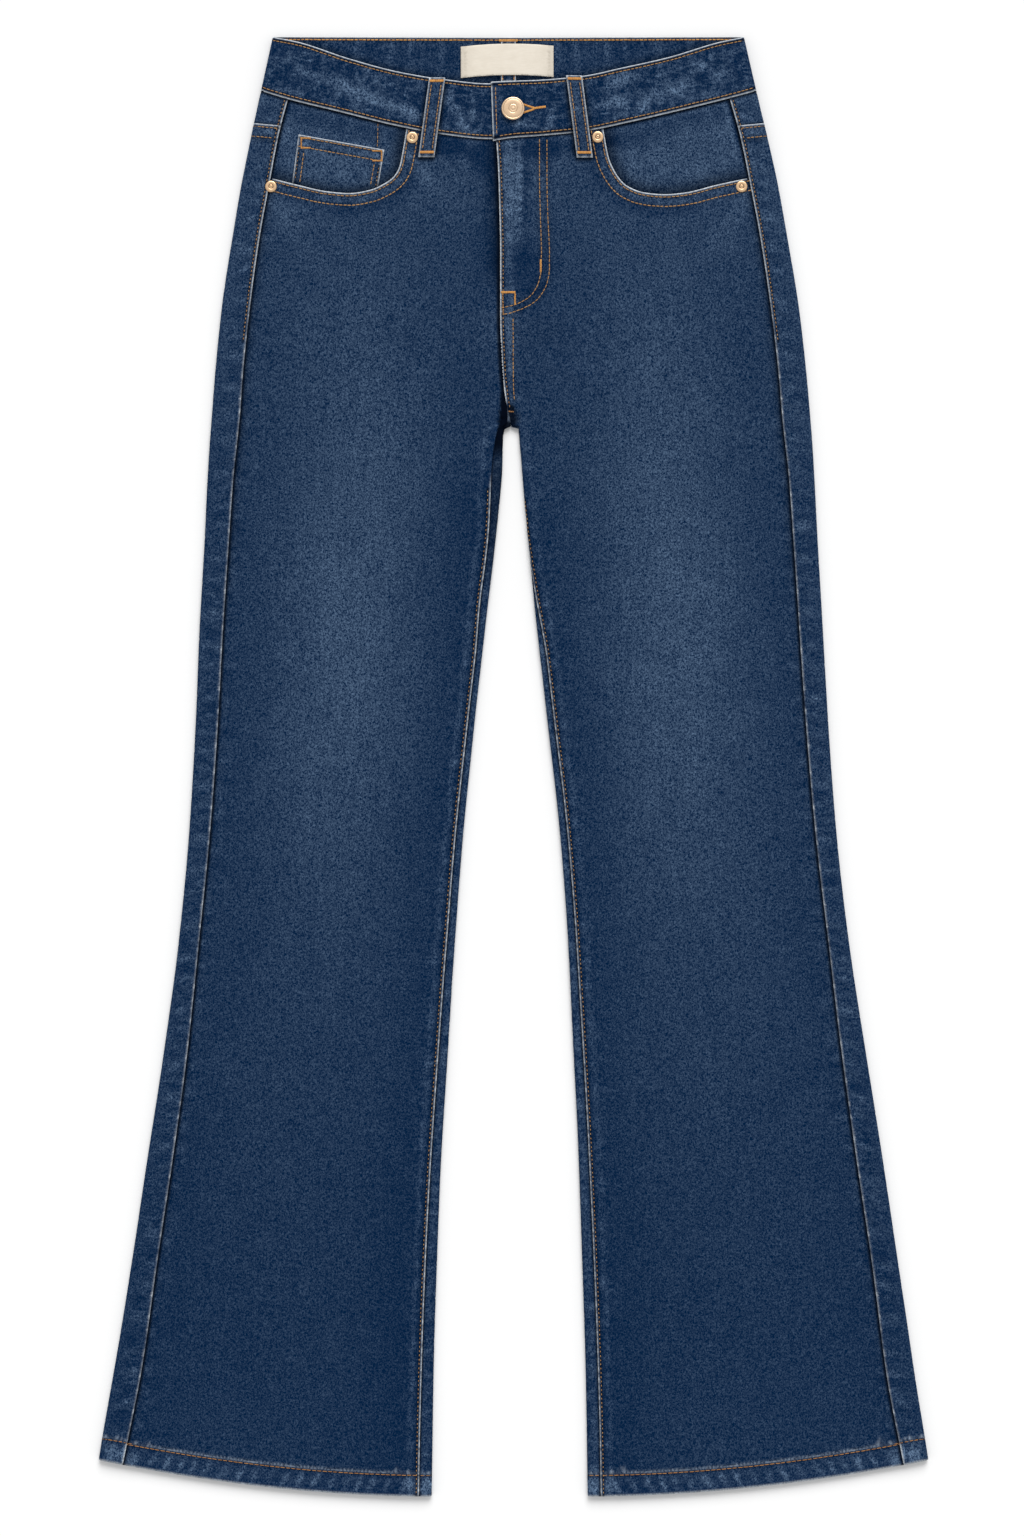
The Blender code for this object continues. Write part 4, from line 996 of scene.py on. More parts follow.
def back_tint(cloth, flat, far, places):
    """The strips that show beside the fronts are a little paler than the cloth round the folds."""
    x, drop = places[:, 0], places[:, 1]
    (d_out, s_out), (d_in, s_in), (d_yoke, s_yoke) = far["outer"], far["inner"], far["yoke"]
    fade = leg_fade_and_painted_shade(x, drop) + 0.10
    fade += bell(d_out - 8.0, 4.6) * (0.9 * ticks(s_out, 13.0, 6.0) - 0.15)
    leg = ease((drop - CROTCH) / 6.0)
    fade += leg * bell(d_in - 5.5, 3.2) * (0.25 + 0.4 * ticks(s_in, 15.0, 7.0))
    broken = 0.25 + 0.5 * ticks(s_out, 9.0, 3.0) + 0.15 * wander(s_out, 60.0, 8.0)
    worn = edge_worn(d_out) * np.maximum(broken, 0.8 * ease((240.0 - drop) / 70.0))
    # painted shade: a dark line along the inner edge below the crotch, the right strip dark in shade under
    # the front's edge, and dark lines beside the yoke and waist seams
    deep = leg * 0.95 * ledge(d_in, 1.6, 0.8)
    if cloth.side == "right":
        shade = np.maximum(0.98 * ease((330.0 - drop) / 26.0), 0.5 * ease((440.0 - drop) / 70.0))
        deep = np.maximum(deep, ease((drop - 286.0) / 3.0) * shade * ease((16.0 - d_in) / 4.0))
    if "hem" in far:
        corner = 0.85 * edge_worn(d_out) * ease((17.0 - far["hem"][0]) / 2.0)
        worn = most(worn, hem_worn(*far["hem"]), 0.8 * edge_worn(d_yoke), corner)
        fade += hem_fade(*far["hem"])
        fade += marked(x, drop, HEM_MARKS)
        fade += bell(d_yoke - 5.0, 3.5) * (0.15 + 0.5 * ticks(s_yoke, 8.0, 2.0))
        deep = np.maximum(deep, 0.45 * bell(d_yoke - 11.2, 0.9))
    else:
        d_waist, s_waist = far["waist"]
        fade += 0.5 * ticks(s_waist, 12.0, 3.0) * bell(d_waist - 7.0, 6.0)
        deep = most(deep, 0.9 * ledge(d_waist, 1.6, 0.9), 0.7 * bell(d_yoke - 1.4, 0.8))
    uneven = 0.12 + 0.55 * bell(np.minimum(d_out, d_in) - 6.0, 10.0)
    return look(fade, worn * (1.0 - deep), deep, uneven)


HEM_SQUARES = ((300, 1062, 2.4), (286, 1066.5, 1.8), (74, 1086, 1.8), (62.5, 1086.5, 2))
HEM_MARKS = tuple(  # pale squares beside the seams that cross the hem
    (sign * x, drop, 4.0, 6.0, 0.0, strength) for sign in (-1.0, 1.0) for x, drop, strength in HEM_SQUARES
)
OUTSEAM_ROW = 165.0  # the row beside the outseam runs this far down


def make_back(side, tan, rust):
    guides = fold_guides(60.0, LENGTH)
    cloth = Cloth(side, back_edges(side), lay_lower, back_relief, back_tint, hem_ply, guides)
    start = lengths(cloth.edges["outer"])[-1] - OUTSEAM_ROW
    cloth.row(tan, cloth.inset("outer", 2.2, start), *SEWN["outseam"])
    cloth.row(rust, cloth.inset("hem", HEM_STITCH), *SEWN["back_hem"])
    for away in ROWS_IN["yoke"]:
        cloth.row(tan, cloth.inset("yoke", away), lift=0.05)
    if side == "left":
        for away in ROWS_IN["back_seam"]:
            cloth.row(tan, cloth.inset("inner", away, 0.0, BACK_SEAM_ROWS_TO), lift=-0.1)
    cloth.make(f"back_{side}", ["floor"])


def make_yoke(side, tan):
    guides = fold_guides(38.0, 80.0)
    cloth = Cloth(side, yoke_edges(side), lay_lower, back_relief, back_tint, PLY, guides)
    cloth.row(tan, cloth.inset("outer", 2.2), *SEWN["outseam"])
    cloth.make(f"yoke_{side}", [f"back_{side}_cloth"])


# ---------------------------------------------------------------- pockets


def facing_edges(side):
    """The denim behind a pocket mouth: it runs on under the front."""
    mouth = pocket_mouth(side)
    hidden = mouth + FACING_HIDDEN * sideways(mouth)
    hidden = hidden[hidden[:, 1] > FACING_CORNER_DROP][::-1]
    seam = front_seam[side]
    outer_x = float(outseam(seam(outseam(BAND_DEPTH)))) + RUN_UNDER
    inner_x = mouth[0, 0] - FACING_HIDDEN
    foot = hidden[hidden[:, 0] < outseam(hidden[:, 1]) + RUN_UNDER]
    top_drop, foot_drop = float(seam(outer_x)), foot[0, 1]
    outer = side_between(lambda d: outseam(d) + RUN_UNDER, top_drop, foot_drop, EDGE_STEP)
    xs = np.linspace(inner_x, outer[0, 0], 50)
    waist = np.column_stack([xs, seam(xs)])
    waist[-1] = outer[0]
    foot = resample(np.concatenate([outer[-1:], foot]), EDGE_STEP)
    inner = resample([foot[-1], waist[0]], EDGE_STEP)
    return {"outer": outer, "foot": foot, "inner": inner, "waist": waist}


def facing_relief(cloth, flat, far):
    rise = -0.35 * bell(far["outer"][0], 2.6) - 0.3 * bell(far["waist"][0], 3.0)
    return rise + ripple(far, "waist", 0.18, 10.0, 8.0, 0.0, 0.0, 9.0)


def facing_tint(cloth, flat, far, places):
    d_mouth, d_out = near(flat, pocket_mouth(cloth.side))[0], far["outer"][0]
    d_waist, s_waist = far["waist"]
    # darker near the waist seam and the outseam: painted shade
    fade = 0.18 + 0.66 * ease((d_waist - 7.0) / 18.0) - 0.45 * bell(d_out - 3.0, 9.0)
    fade += marked(places[:, 0], places[:, 1], FACING_MARKS)
    # a painted highlight on the roll just below the waist seam, with puckers below it
    fade += 0.4 * bell(d_waist - 4.3, 1.5) + 0.5 * ticks(s_waist, 13.0, 8.0) * bell(d_waist - 7.0, 6.0)
    # painted shade: dark lines beside the outseam and under the waistband, and shade inside the pocket mouth
    seams = np.maximum(0.97 * ledge(d_out, 3.0, 0.8), 0.9 * ledge(d_waist, 1.6, 0.9))
    return look(fade, 0.0, most(seams, 0.9 * bell(d_mouth, 1.2), 0.72 * bell(d_mouth, 7.0)), 0.45)


def make_facing(side, tan):
    lay = level(lambda a, drop: upper_height(a, drop) - LAP_STEP)
    cloth = Cloth(side, facing_edges(side), lay, facing_relief, facing_tint)
    mouth = resample(pocket_mouth(side), EDGE_STEP)
    cloth.guides += [mouth - away * sideways(mouth) for away in MOUTH_GUIDES]
    if side == "right":
        cloth.row(tan, FACING_ROW, *SEWN["facing"])
    cloth.make(f"pocket_facing_{side}", [f"back_{side}_cloth"])


MOUTH_GUIDES = (-0.8, 0.2, 1.2, 2.4, 4.0)  # lines of points under the pocket mouth's edge
FACING_ROW = [(98.6, 64.0), (99.4, 83.0)]
# the dark mark at x 170, beside the left outseam, is painted shadow
FACING_MARKS = (  # x, drop, length, width, angle, strength
    (166, 69, 20, 2.6, 76, 1.3), (170, 75, 10, 2.6, 80, -1), (76, 79, 16, 3, -4, -0.6),
    (-166, 69, 18, 2.6, -76, 0.8),
)
COIN_TOP = ((158.0, 73.5), (94.1, 85.0))
COIN_FOOT_X = (163.5, 99.5)
COIN_RUNS_UNDER = 2.5  # under the pocket mouth
COIN_MARKS = (  # x, drop, length, width, angle, strength
    (-152.6, 80, 2.6, 2.6, 0, 1.6), (-99.5, 89.6, 2.6, 2.6, 0, 1.6),
)


def coin_edges():
    mouth = pocket_mouth("right")
    (outer_x, outer_drop), (inner_x, inner_drop) = COIN_TOP
    feet = np.linspace(*COIN_FOOT_X, 30)
    foot = np.column_stack([feet, np.interp(feet, mouth[:, 0], mouth[:, 1]) + COIN_RUNS_UNDER])
    outer = resample([(outer_x, outer_drop), foot[0]], POCKET_STEP)
    inner = resample([foot[-1], (inner_x, inner_drop)], POCKET_STEP)
    head = resample([(inner_x, inner_drop), (outer_x, outer_drop)], POCKET_STEP)
    return {"outer": outer, "foot": foot, "inner": inner, "head": head}


def coin_relief(cloth, flat, far):
    free = from_edges(far, "outer", "inner", "head")
    return 0.3 * ledge(free, 0.8, 1.6) - rounded(free) - 0.5 * bell(far["foot"][0], 3.0)


def coin_tint(cloth, flat, far, places):
    free = from_edges(far, "outer", "inner", "head")
    fade = 0.8 + 0.5 * ticks(far["head"][1], 10.0, 3.0) * bell(far["head"][0] - 5.5, 3.0)
    # painted shade under the pocket mouth's edge, over the foot that runs under it
    deep = np.maximum(0.95 * ledge(far["foot"][0], 2.5, 1.2), 0.7 * ledge(far["foot"][0], 2.5, 5.5))
    fade += marked(places[:, 0], places[:, 1], COIN_MARKS) - 0.3 * bell(free - 2.0, 2.5)
    return look(fade, 0.85 * edge_worn(free), deep, 0.4)


def make_coin_pocket(tan, orange):
    lay = level(lambda a, drop: upper_height(a, drop) - LAP_STEP + GAP + PLY)
    cloth = Cloth("right", coin_edges(), lay, coin_relief, coin_tint, 0.7)
    for away in ROWS_IN["coin_head"]:
        cloth.row(tan, cloth.inset("head", away, 2.0))
    for name in ("inner", "outer"):
        end = lengths(cloth.edges[name])[-1]
        low, high = (2.0, end - 11.0) if name == "inner" else (11.0, end - 2.0)
        cloth.row(tan, cloth.inset(name, 1.8, low, high), *SEWN["coin_edge"])
        cloth.row(tan, cloth.inset(name, 5.6, low, high))
    cloth.make("coin_pocket", ["pocket_facing_right_cloth"])
    (outer_x, outer_drop), (inner_x, inner_drop) = COIN_TOP
    slope = (inner_drop - outer_drop) / (inner_x - outer_x)
    for x, side in ((outer_x - 5.4, 3.4), (inner_x + 5.4, -3.4)):
        drop = outer_drop + slope * (x - outer_x)
        orange.tack(cloth, (x + side, drop + 1.6), (x + side, drop + 9.6), 1.2, 16, 0.45)
        for down in (1.9, 9.2):
            orange.tack(cloth, (x - 3.4, drop + down), (x + 3.4, drop + down), 1.2, 14, 0.45)


def back_pocket_edges():
    corner = {name: np.array(place) for name, place in BACK_POCKET.items()}
    ring = ["inner_top", "inner_bottom", "point", "outer_bottom", "outer_top"]
    names = ["inner", "foot_inner", "foot_outer", "outer", "head"]
    edges = {}
    for name, a, b in zip(names, ring, ring[1:] + ring[:1]):
        edges[name] = resample([corner[a], corner[b]], POCKET_STEP)
    return edges


def back_pocket_relief(cloth, flat, far):
    return -rounded(from_edges(far), 0.6)


def back_pocket_tint(cloth, flat, far, places):
    free = from_edges(far)
    return look(0.42 + 0.4 * bell(free - 5.0, 3.0), 0.8 * edge_worn(free), 0.0, 0.4)


def make_back_pocket(side, tan):
    lay = level(0.3, up=-1.0)
    cloth = Cloth(side, back_pocket_edges(), lay, back_pocket_relief, back_pocket_tint, 0.65)
    for name in cloth.edges:
        cloth.row(tan, cloth.inset(name, 2.0), width=0.6, lift=-0.15)
    cloth.row(tan, cloth.inset("head", 11.0, 2.0), width=0.6, lift=-0.15)
    cloth.make(f"back_pocket_{side}", ["floor"])


# ---------------------------------------------------------------- waistband

BAND_EDGE_ROWS = np.array([0.0, 0.25, 0.6, 1.0, 1.6, 2.2, 2.8, 3.5, 4.6, 6.2, 8.4])
BAND_ROUND = 1.1


def shell(name, outside, inside_face, material, values, inner_values):
    """A closed wall between two grids of points, split the same way."""
    rows, columns = outside.shape[:2]
    index = np.arange(rows * columns).reshape(rows, columns)
    a, b, c, d = (part.ravel() for part in (index[:-1, :-1], index[:-1, 1:], index[1:, :-1], index[1:, 1:]))
    front = np.concatenate([np.column_stack([a, b, d]), np.column_stack([a, d, c])])
    back = rows * columns
    rim = np.concatenate([index[0, :], index[1:, -1], index[-1, -2::-1], index[-2:0:-1, 0]])
    after = np.roll(rim, -1)
    walls = [np.column_stack([after, rim, back + rim]), np.column_stack([after, back + rim, back + after])]
    faces = np.concatenate([front, front[:, ::-1] + back, *walls])
    points = np.concatenate([outside.reshape(-1, 3), inside_face.reshape(-1, 3)])
    middle = points.mean(0)
    p, q, r = (points[faces[:, k]] - middle for k in range(3))
    if (np.cross(p, q) * r).sum() > 0:  # drop runs against Y
        faces = faces[:, ::-1]
    both = {key: np.concatenate([v.ravel(), inner_values[key].ravel()]) for key, v in values.items()}
    both["reverse"] = np.zeros(2 * back)
    return build(name, points, faces, material, both)


def band_lap(x):
    """How far the left half stands up over the underlap at seam place x."""
    down = (x - BAND_LAP_FLAT) / (BAND_LAP_DOWN - BAND_LAP_FLAT)
    return (BAND_THICK + GAP) * (1.0 - np.clip(down, 0.0, 1.0))


def band_stations():
    """Round the strip: (x, drop) of the top edge and of the seam edge, the height, and the normal."""
    radius = (BAND_FRONT_TOP - BAND_BACK_FLOOR) / 2
    middle = (BAND_FRONT_TOP + BAND_BACK_FLOOR) / 2
    halves = {}
    for side in ("right", "left"):
        rows = BAND_ROWS[side]
        names = [name for name in BAND_COLUMNS if name != "seam_x"]
        top_x, top_drop, seam_drop = (bent(rows, BAND_COLUMNS, "seam_x", name) for name in names)
        sign = SIGN[side]
        xs = np.arange(rows[-1][2], rows[0][2] - radius, 2.3)
        xs = np.append(xs, rows[0][2] - radius)
        height = BAND_FRONT_TOP + (band_lap(xs) if side == "left" else 0.0 * xs)
        up = np.ones(len(xs))
        flat = [sign * top_x(xs), top_drop(xs), sign * xs, seam_drop(xs), height, 0.0 * xs, up]
        turn = np.linspace(0.0, math.pi, 13)[1:-1]
        out = radius * (np.sin(turn) - 1.0)
        one = np.ones(len(turn))
        top_at, seam_at = rows[0][1], rows[0][3]
        fold = [sign * (float(outer_fold(top_at)) + out), top_at * one]
        fold += [sign * (float(outer_fold(seam_at)) + out), seam_at * one]
        fold += [middle + radius * np.cos(turn), sign * np.sin(turn), np.cos(turn)]
        halves[side] = np.concatenate([np.column_stack(flat), np.column_stack(fold)])
    share = np.linspace(-1.0, 1.0, 150)
    reach = np.abs(share)
    back = [share * (float(outer_fold(BAND_SIDE_EDGE)) - radius), mix(BAND_BACK_EDGE, BAND_SIDE_EDGE, reach)]
    back += [share * (float(outer_fold(BAND_DEPTH)) - radius), mix(BAND_DEPTH_BACK, BAND_DEPTH, reach)]
    back += [BAND_BACK_FLOOR + 0.0 * share, 0.0 * share, -1.0 + 0.0 * share]
    return np.concatenate([halves["right"], np.column_stack(back), halves["left"][::-1]])


def under_band(x, drop, up):
    """How high the band's lower edge stands where it laps the cloth under it."""
    reach = np.abs(x)
    lap = np.where(x > 0.0, fly_step("left", reach, drop), 0.0)
    lap = np.where(x < 0.0, fly_step("left", x, drop) * (x > fly_edge(drop)), lap)
    on_top = upper_height(reach, drop) + lap + 0.55
    return np.where(up > 0.5, on_top, np.where(up < -0.5, under(drop) - 0.55, 99.0))


class Band:
    """The waistband. It is laid out flat as s mm along the strip and d mm down from its top edge."""

    def __init__(self):
        self.table = band_stations()
        self.depths = np.linalg.norm(self.table[:, 2:4] - self.table[:, 0:2], axis=1)
        self.at = lengths(self.table[:, 2:4])

    def depth(self, s):
        return np.interp(s, self.at, self.depths)

    def face(self, flat):
        """Places and normals of the outer face, and how thick the band is there."""
        s, d = flat.T
        columns = [np.interp(s, self.at, self.table[:, k]) for k in range(7)]
        depth = self.depth(s)
        from_seam = depth + SEAM_LAP - d
        share = d / depth
        x, drop = mix(columns[0], columns[2], share), mix(columns[1], columns[3], share)
        height, out, up = columns[4:]
        size = np.hypot(out, up)
        out, up = out / size, up / size
        rise = 0.25 * wander(s + 0.7 * d, 9.0, 9.0) * bell(d - 2.0, 3.5)
        rise += 0.25 * wander(s - 0.6 * d, 10.0, 10.0) * bell(from_seam - 3.0, 4.0)
        rise += 0.35 * wander(s + 0.4 * d, 22.0, 11.0) * bell(d - depth / 2, 12.0)
        ends = np.minimum(s, self.at[-1] - s)
        edges = rounded(d, BAND_ROUND) + rounded(ends, BAND_ROUND)
        rows = bell(d - BAND_ROW, 0.8) + bell(from_seam - BAND_ROW, 0.8)
        rise += 0.3 * bell(ends - 1.5, 1.8) - 0.25 * rows
        rise -= edges
        z = height + up * rise
        lip = under_band(x, drop, up)
        tucked = mix(lip, z, ease((from_seam - 0.4) / 4.0)) - rounded(from_seam, ROUND)
        z = np.where((up > 0.5) & (from_seam < 4.4), tucked, z)
        z = np.where((up <= 0.5), z - up * rounded(from_seam, ROUND), z)
        thick = np.where(from_seam < 2.6, 0.7, BAND_THICK) - 0.9 * edges
        return np.column_stack([x, drop, z]), np.column_stack([out, 0.0 * out, up]), np.maximum(thick, 0.25)

    def place(self, x, drop):
        """The flat (s, d) of a place on the left half of the front."""
        picked = (self.table[:, 6] > 0.9) & (np.arange(len(self.at)) > len(self.at) / 2)
        rows = self.table[picked]
        share = (drop - rows[:, 1]) / (rows[:, 3] - rows[:, 1])
        xs = mix(rows[:, 0], rows[:, 2], share)
        order = np.argsort(xs)
        columns = (self.at[picked], share * self.depths[picked])
        return [float(np.interp(x, xs[order], column[order])) for column in columns]

    def outer(self, flat, lift=0.0):
        places, normals, _ = self.face(flat)
        return places + normals * lift, normals

    def inner(self, flat, lift=0.0):
        places, normals, thick = self.face(flat)
        return places - normals * (thick[:, None] + lift), -normals

    def front_shadow(self, inside_face):
        """How dark the inside of the back is where it lies close behind the front's top edge."""
        front = self.table[self.table[:, 6] > 0.9]
        flat = inside_face.reshape(-1, 3)[:, :2]
        away = near(flat, front[np.argsort(front[:, 0]), :2])[0]
        return (0.55 * bell(away, 4.0)).reshape(inside_face.shape[:2])

    def net(self):
        """A grid over the flat strip: s of each column of points, and d of each point."""
        middles, low = np.linspace(0.0, 1.0, 13)[1:-1], BAND_EDGE_ROWS[-1]
        rows = []
        for total in self.depths + SEAM_LAP:
            between = mix(low, total - low, middles)
            rows.append(np.concatenate([BAND_EDGE_ROWS, between, total - BAND_EDGE_ROWS[::-1]]))
        ends = np.array([0.3, 0.7, 1.2])
        s = np.concatenate([self.at[:1], ends, self.at[1:-1], self.at[-1] - ends[::-1], self.at[-1:]])
        return s, np.column_stack([np.interp(s, self.at, row) for row in np.array(rows).T])

    def outside_look(self, s, d, from_seam, places):
        """Worn edges, puckers along both seams, clouds between them and marks on the front; painted shade
        along the stitch rows and beside the front loops.
        """
        x, drop, front = places[..., 0], places[..., 1], places[..., 2] > BAND_BACK_TOP
        ends = np.minimum(s, self.at[-1] - s)
        worn = most(edge_worn(d), edge_worn(from_seam), edge_worn(ends))
        patch = 0.3 * wander(s + 0.8 * d, 27.0, 12.0) * bell(d - 20.0, 13.0)
        fade = -0.10 + patch + 0.5 * ticks(s - 0.5 * d, 12.0, 13.0) * bell(from_seam - 8.0, 5.0)
        fade += 0.5 * ticks(s + 0.5 * d, 13.0, 10.0) * bell(d - 7.5, 4.5)
        fade += 0.5 * wander(s - 0.15 * d, 8.5, 21.0) * (bell(d - 8.0, 7.0) + bell(from_seam - 9.0, 7.0))
        fade += 0.25 * bell(d - 4.9, 1.2) + 0.3 * bell(from_seam - 6.0, 2.2)
        fade += 2.3 * marked(x, drop, BAND_MARKS) * front
        # painted shade along the stitch rows and beside the front loops
        rows = np.maximum(bell(d - BAND_ROW + 0.5, 1.0), bell(from_seam - BAND_ROW + 0.5, 1.0))
        deep = np.maximum(0.85 * rows, loop_shadow(x, drop) * front)
        behind = places[..., 2] < BAND_BACK_TOP
        return look(fade + 0.35 * behind, worn * np.where(front, 0.9, 0.2), deep, 1.15 - 0.6 * behind)

    def inside_look(self, s, d, from_seam, places):
        pucker = ticks(s, 13.0, 17.0) * (0.35 + 0.65 * bell(d - 8.0, 9.0))
        pucker += 0.5 * ticks(s + 0.2 * d, 7.0, 5.0) * bell(from_seam - 9.0, 8.0)
        # painted shade along the inside row and behind the front's top edge
        deep = np.maximum(0.7 * bell(d - BAND_INNER_ROW, 0.9), self.front_shadow(places))
        return look(0.10 + 0.75 * pucker, 0.15 * edge_worn(d), deep, 0.4)

    def make(self):
        s, d = self.net()
        along = s[:, None] + 0.0 * d
        places, normals, thick = self.face(np.column_stack([along.ravel(), d.ravel()]))
        outside = places.reshape(*d.shape, 3)
        inside_face = (places - normals * thick[:, None]).reshape(*d.shape, 3)
        from_seam = (self.depth(s) + SEAM_LAP)[:, None] - d
        values = self.outside_look(along, d, from_seam, outside)
        inner_values = self.inside_look(along, d, from_seam, inside_face)
        made = shell("waistband_cloth", outside, inside_face, denim(), values, inner_values)
        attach(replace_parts(made, "waistband"), "root")
        wide = self.depths + SEAM_LAP
        area = float(((wide[1:] + wide[:-1]) / 2 * np.diff(self.at)).sum()) * MM**2


BAND_MARKS = (  # x, drop, length, width, angle, strength
    (-40, 56, 20, 3, 62, 0.7), (-28, 60, 14, 2.6, 100, 0.5), (-120, 38, 18, 5, 24, 0.7),
    (-96, 50, 22, 4, 22, 0.6), (-150, 28, 14, 4.5, 35, 0.5), (-100, 34, 14, 3.5, 60, 0.4),
    (-72, 58, 16, 3.5, 20, 0.5), (12, 66, 16, 3, 20, 0.5), (10, 45, 14, 5, 10, -0.5),
    (26, 72, 22, 4, -5, -0.4), (30, 62, 12, 3, 110, 0.5), (84, 34, 12, 4.5, -25, 0.8),
    (76, 50, 20, 4, -15, 0.6), (104, 46, 14, 3.5, -50, 0.6), (122, 42, 18, 4.5, -20, 0.6),
    (140, 26, 16, 4, -35, 0.5), (158, 30, 14, 4, -60, 0.4),
)


def loop_shadow(x, drop):
    """How dark the cloth is close beside a front loop."""
    shade = 0.0 * x
    for side, ((top_x, top_drop), (foot_x, foot_drop)) in FRONT_LOOPS.items():
        share = (drop - top_drop) / (foot_drop - top_drop)
        away = np.abs(x - SIGN[side] * mix(top_x, foot_x, share)) - LOOP_WIDTH / 2
        beside = 0.85 * ledge(away, 0.0, 2.2) * ease(share * 9.0) * ease((1.06 - share) * 16.0)
        shade = np.maximum(shade, beside)
    return shade


BAND_ROW = 2.7  # stitches stand this far in from the band's edges
BAND_INNER_ROW = 1.8  # and this far in from the top edge inside the back


def edge_worn(d):
    """Wear along an edge: a thin pale ridge."""
    return ledge(d, 0.3, 0.5)


def sew_band(band, tan, orange):
    s = band.at
    inset = s[(s > 3.0) & (s < s[-1] - 3.0)]
    depth = band.depth(inset) + SEAM_LAP
    tan.sew(band, np.column_stack([inset, BAND_ROW + 0.0 * inset]))
    tan.sew(band, np.column_stack([inset, depth - BAND_ROW]))
    for end in (3.0, s[-1] - 3.0):
        tan.sew(band, [(end, 3.0), (end, float(band.depth(end)) - 2.0)])
    for start, end, across, count in BUTTONHOLE:
        orange.tack(band, band.place(*start), band.place(*end), across, count, 0.5)
    inner = types.SimpleNamespace(outer=band.inner)
    orange.sew(inner, np.column_stack([inset, BAND_INNER_ROW + 0.0 * inset]), share=0.9, width=0.8)
    tan.sew(inner, np.column_stack([inset, depth - 4.5]))


BUTTONHOLE = (  # from, to, how long its threads are, how many: the eye's two arms, then the bar
    ((8.8, 51.3), (17.6, 54.2), 1.5, 26),
    ((8.8, 58.1), (17.6, 55.2), 1.5, 26),
    ((17.2, 54.6), (26.4, 53.3), 1.7, 24),
)


# ---------------------------------------------------------------- belt loops, label and tape

LOOP_WIDTH, LOOP_THICK, LOOP_ARCH, LOOP_GAP, LOOP_PAST_SEAM = 12.0, 1.8, 0.8, 0.45, 1.5
LOOP_ROW = 2.4  # stitches stand this far in from a loop's sides
FRONT_LOOPS = {"right": ((54.4, 31.3), (62.8, 90.8)), "left": ((47.9, 30.0), (55.9, 91.1))}
BACK_LOOPS = {"belt_loop_side_right": -104.0, "belt_loop_side_left": 104.0, "belt_loop_back": 0.0}
BACK_LOOP_DROPS = (2.0, 61.0)
LABEL = {"middle": -2.2, "width": 69.5, "top": 7.4, "depth": 23.5, "arch": 1.7, "bulge": 1.6, "fold": 3.6}
TAPE = {"middle": -1.5, "width": 11.0, "top": 3.2, "bottom": 34.0}


def patch_edges(low_x, high_x, low_drop, high_drop, step=1.6):
    """A rectangle of cloth in the flat."""
    corners = [(low_x, low_drop), (high_x, low_drop), (high_x, high_drop), (low_x, high_drop)]
    names = ("head", "right", "foot", "left")
    return {name: resample([a, b], step) for name, a, b in zip(names, corners, corners[1:] + corners[:1])}


def loop_relief(cloth, flat, far):
    sides, ends = from_edges(far, "left", "right"), from_edges(far, "head", "foot")
    rise = 0.35 * bell(sides - 1.4, 1.2) + 0.35 * bell(ends - 1.5, 2.0)
    rise += 0.15 * wander(flat[:, 1] + 0.6 * flat[:, 0], 7.0, 14.0)
    return rise - rounded(sides, 0.9) - rounded(ends, 0.9)


def loop_tint(cloth, flat, far, places):
    sides = from_edges(far, "left", "right")
    fade = 0.2 + 0.45 * bell(sides - 6.0, 2.2) + 0.4 * ticks(flat[:, 1], 12.0, 9.0)
    # painted shade along the loop's stitch rows
    return look(fade, 0.8 * edge_worn(from_edges(far)), 0.6 * bell(sides - LOOP_ROW, 0.7), 0.6)


def loop_ply(cloth, flat, far):
    return 1.5 - 0.9 * rounded(from_edges(far), 0.9)


def make_front_loop(side, tan, orange):
    """A loop from the top of the waistband to below its seam, a little clear of it in the middle."""
    (top_x, top_drop), (foot_x, foot_drop) = FRONT_LOOPS[side]
    seam_drop = float(front_seam[side](foot_x)) + LOOP_PAST_SEAM
    at_seam = (seam_drop - top_drop) / (foot_drop - top_drop)

    def lay(a, drop):
        share = (drop - top_drop) / (foot_drop - top_drop)
        x = mix(top_x, foot_x, share) + a
        arch = LOOP_ARCH * np.sin(math.pi * np.clip(share / at_seam, 0.0, 1.0))
        on_band = BAND_FRONT_TOP + (band_lap(x) if side == "left" else 0.0)
        on_front = upper_height(x, drop) + fly_step(side, x, drop)
        beyond = np.clip((share - at_seam) / (1.0 - at_seam), 0.0, 1.0)
        z = mix(on_band, on_front, beyond) + LOOP_GAP + arch + LOOP_THICK
        return x, z, 0.0 * a, 1.0 + 0.0 * a

    half = LOOP_WIDTH / 2
    cloth = Cloth(side, patch_edges(-half, half, top_drop, foot_drop), lay, loop_relief, loop_tint, loop_ply)
    cloth.make(f"belt_loop_front_{side}", ["waistband_cloth", f"front_{side}_cloth"])
    sew_loop(cloth, top_drop, foot_drop, tan, orange)


def sew_loop(cloth, top_drop, foot_drop, tan, orange):
    row = LOOP_WIDTH / 2 - LOOP_ROW
    for a in (-row, row):
        tan.sew(cloth, resample([(a, top_drop + 4.0), (a, foot_drop - 4.5)], 2.0), 3.0)
    for drop in (top_drop + 2.6, foot_drop - 3.6):
        orange.tack(cloth, (-row - 1.4, drop), (row + 1.4, drop), 2.0, 24)


def make_back_loop(node, middle, tan, orange):
    half = LOOP_WIDTH / 2
    edges = patch_edges(-half, half, *BACK_LOOP_DROPS)
    cloth = Cloth("left", edges, level(0.6, middle, -1.0), back_loop_relief, loop_tint, 1.1)
    cloth.make(node, ["waistband_cloth"])
    sew_loop(cloth, *BACK_LOOP_DROPS, tan, orange)


def back_loop_relief(cloth, flat, far):
    return 0.3 * loop_relief(cloth, flat, far)


def label_edges():
    return patch_edges(-LABEL["width"] / 2, LABEL["width"] / 2, LABEL["top"], LABEL["top"] + LABEL["depth"])


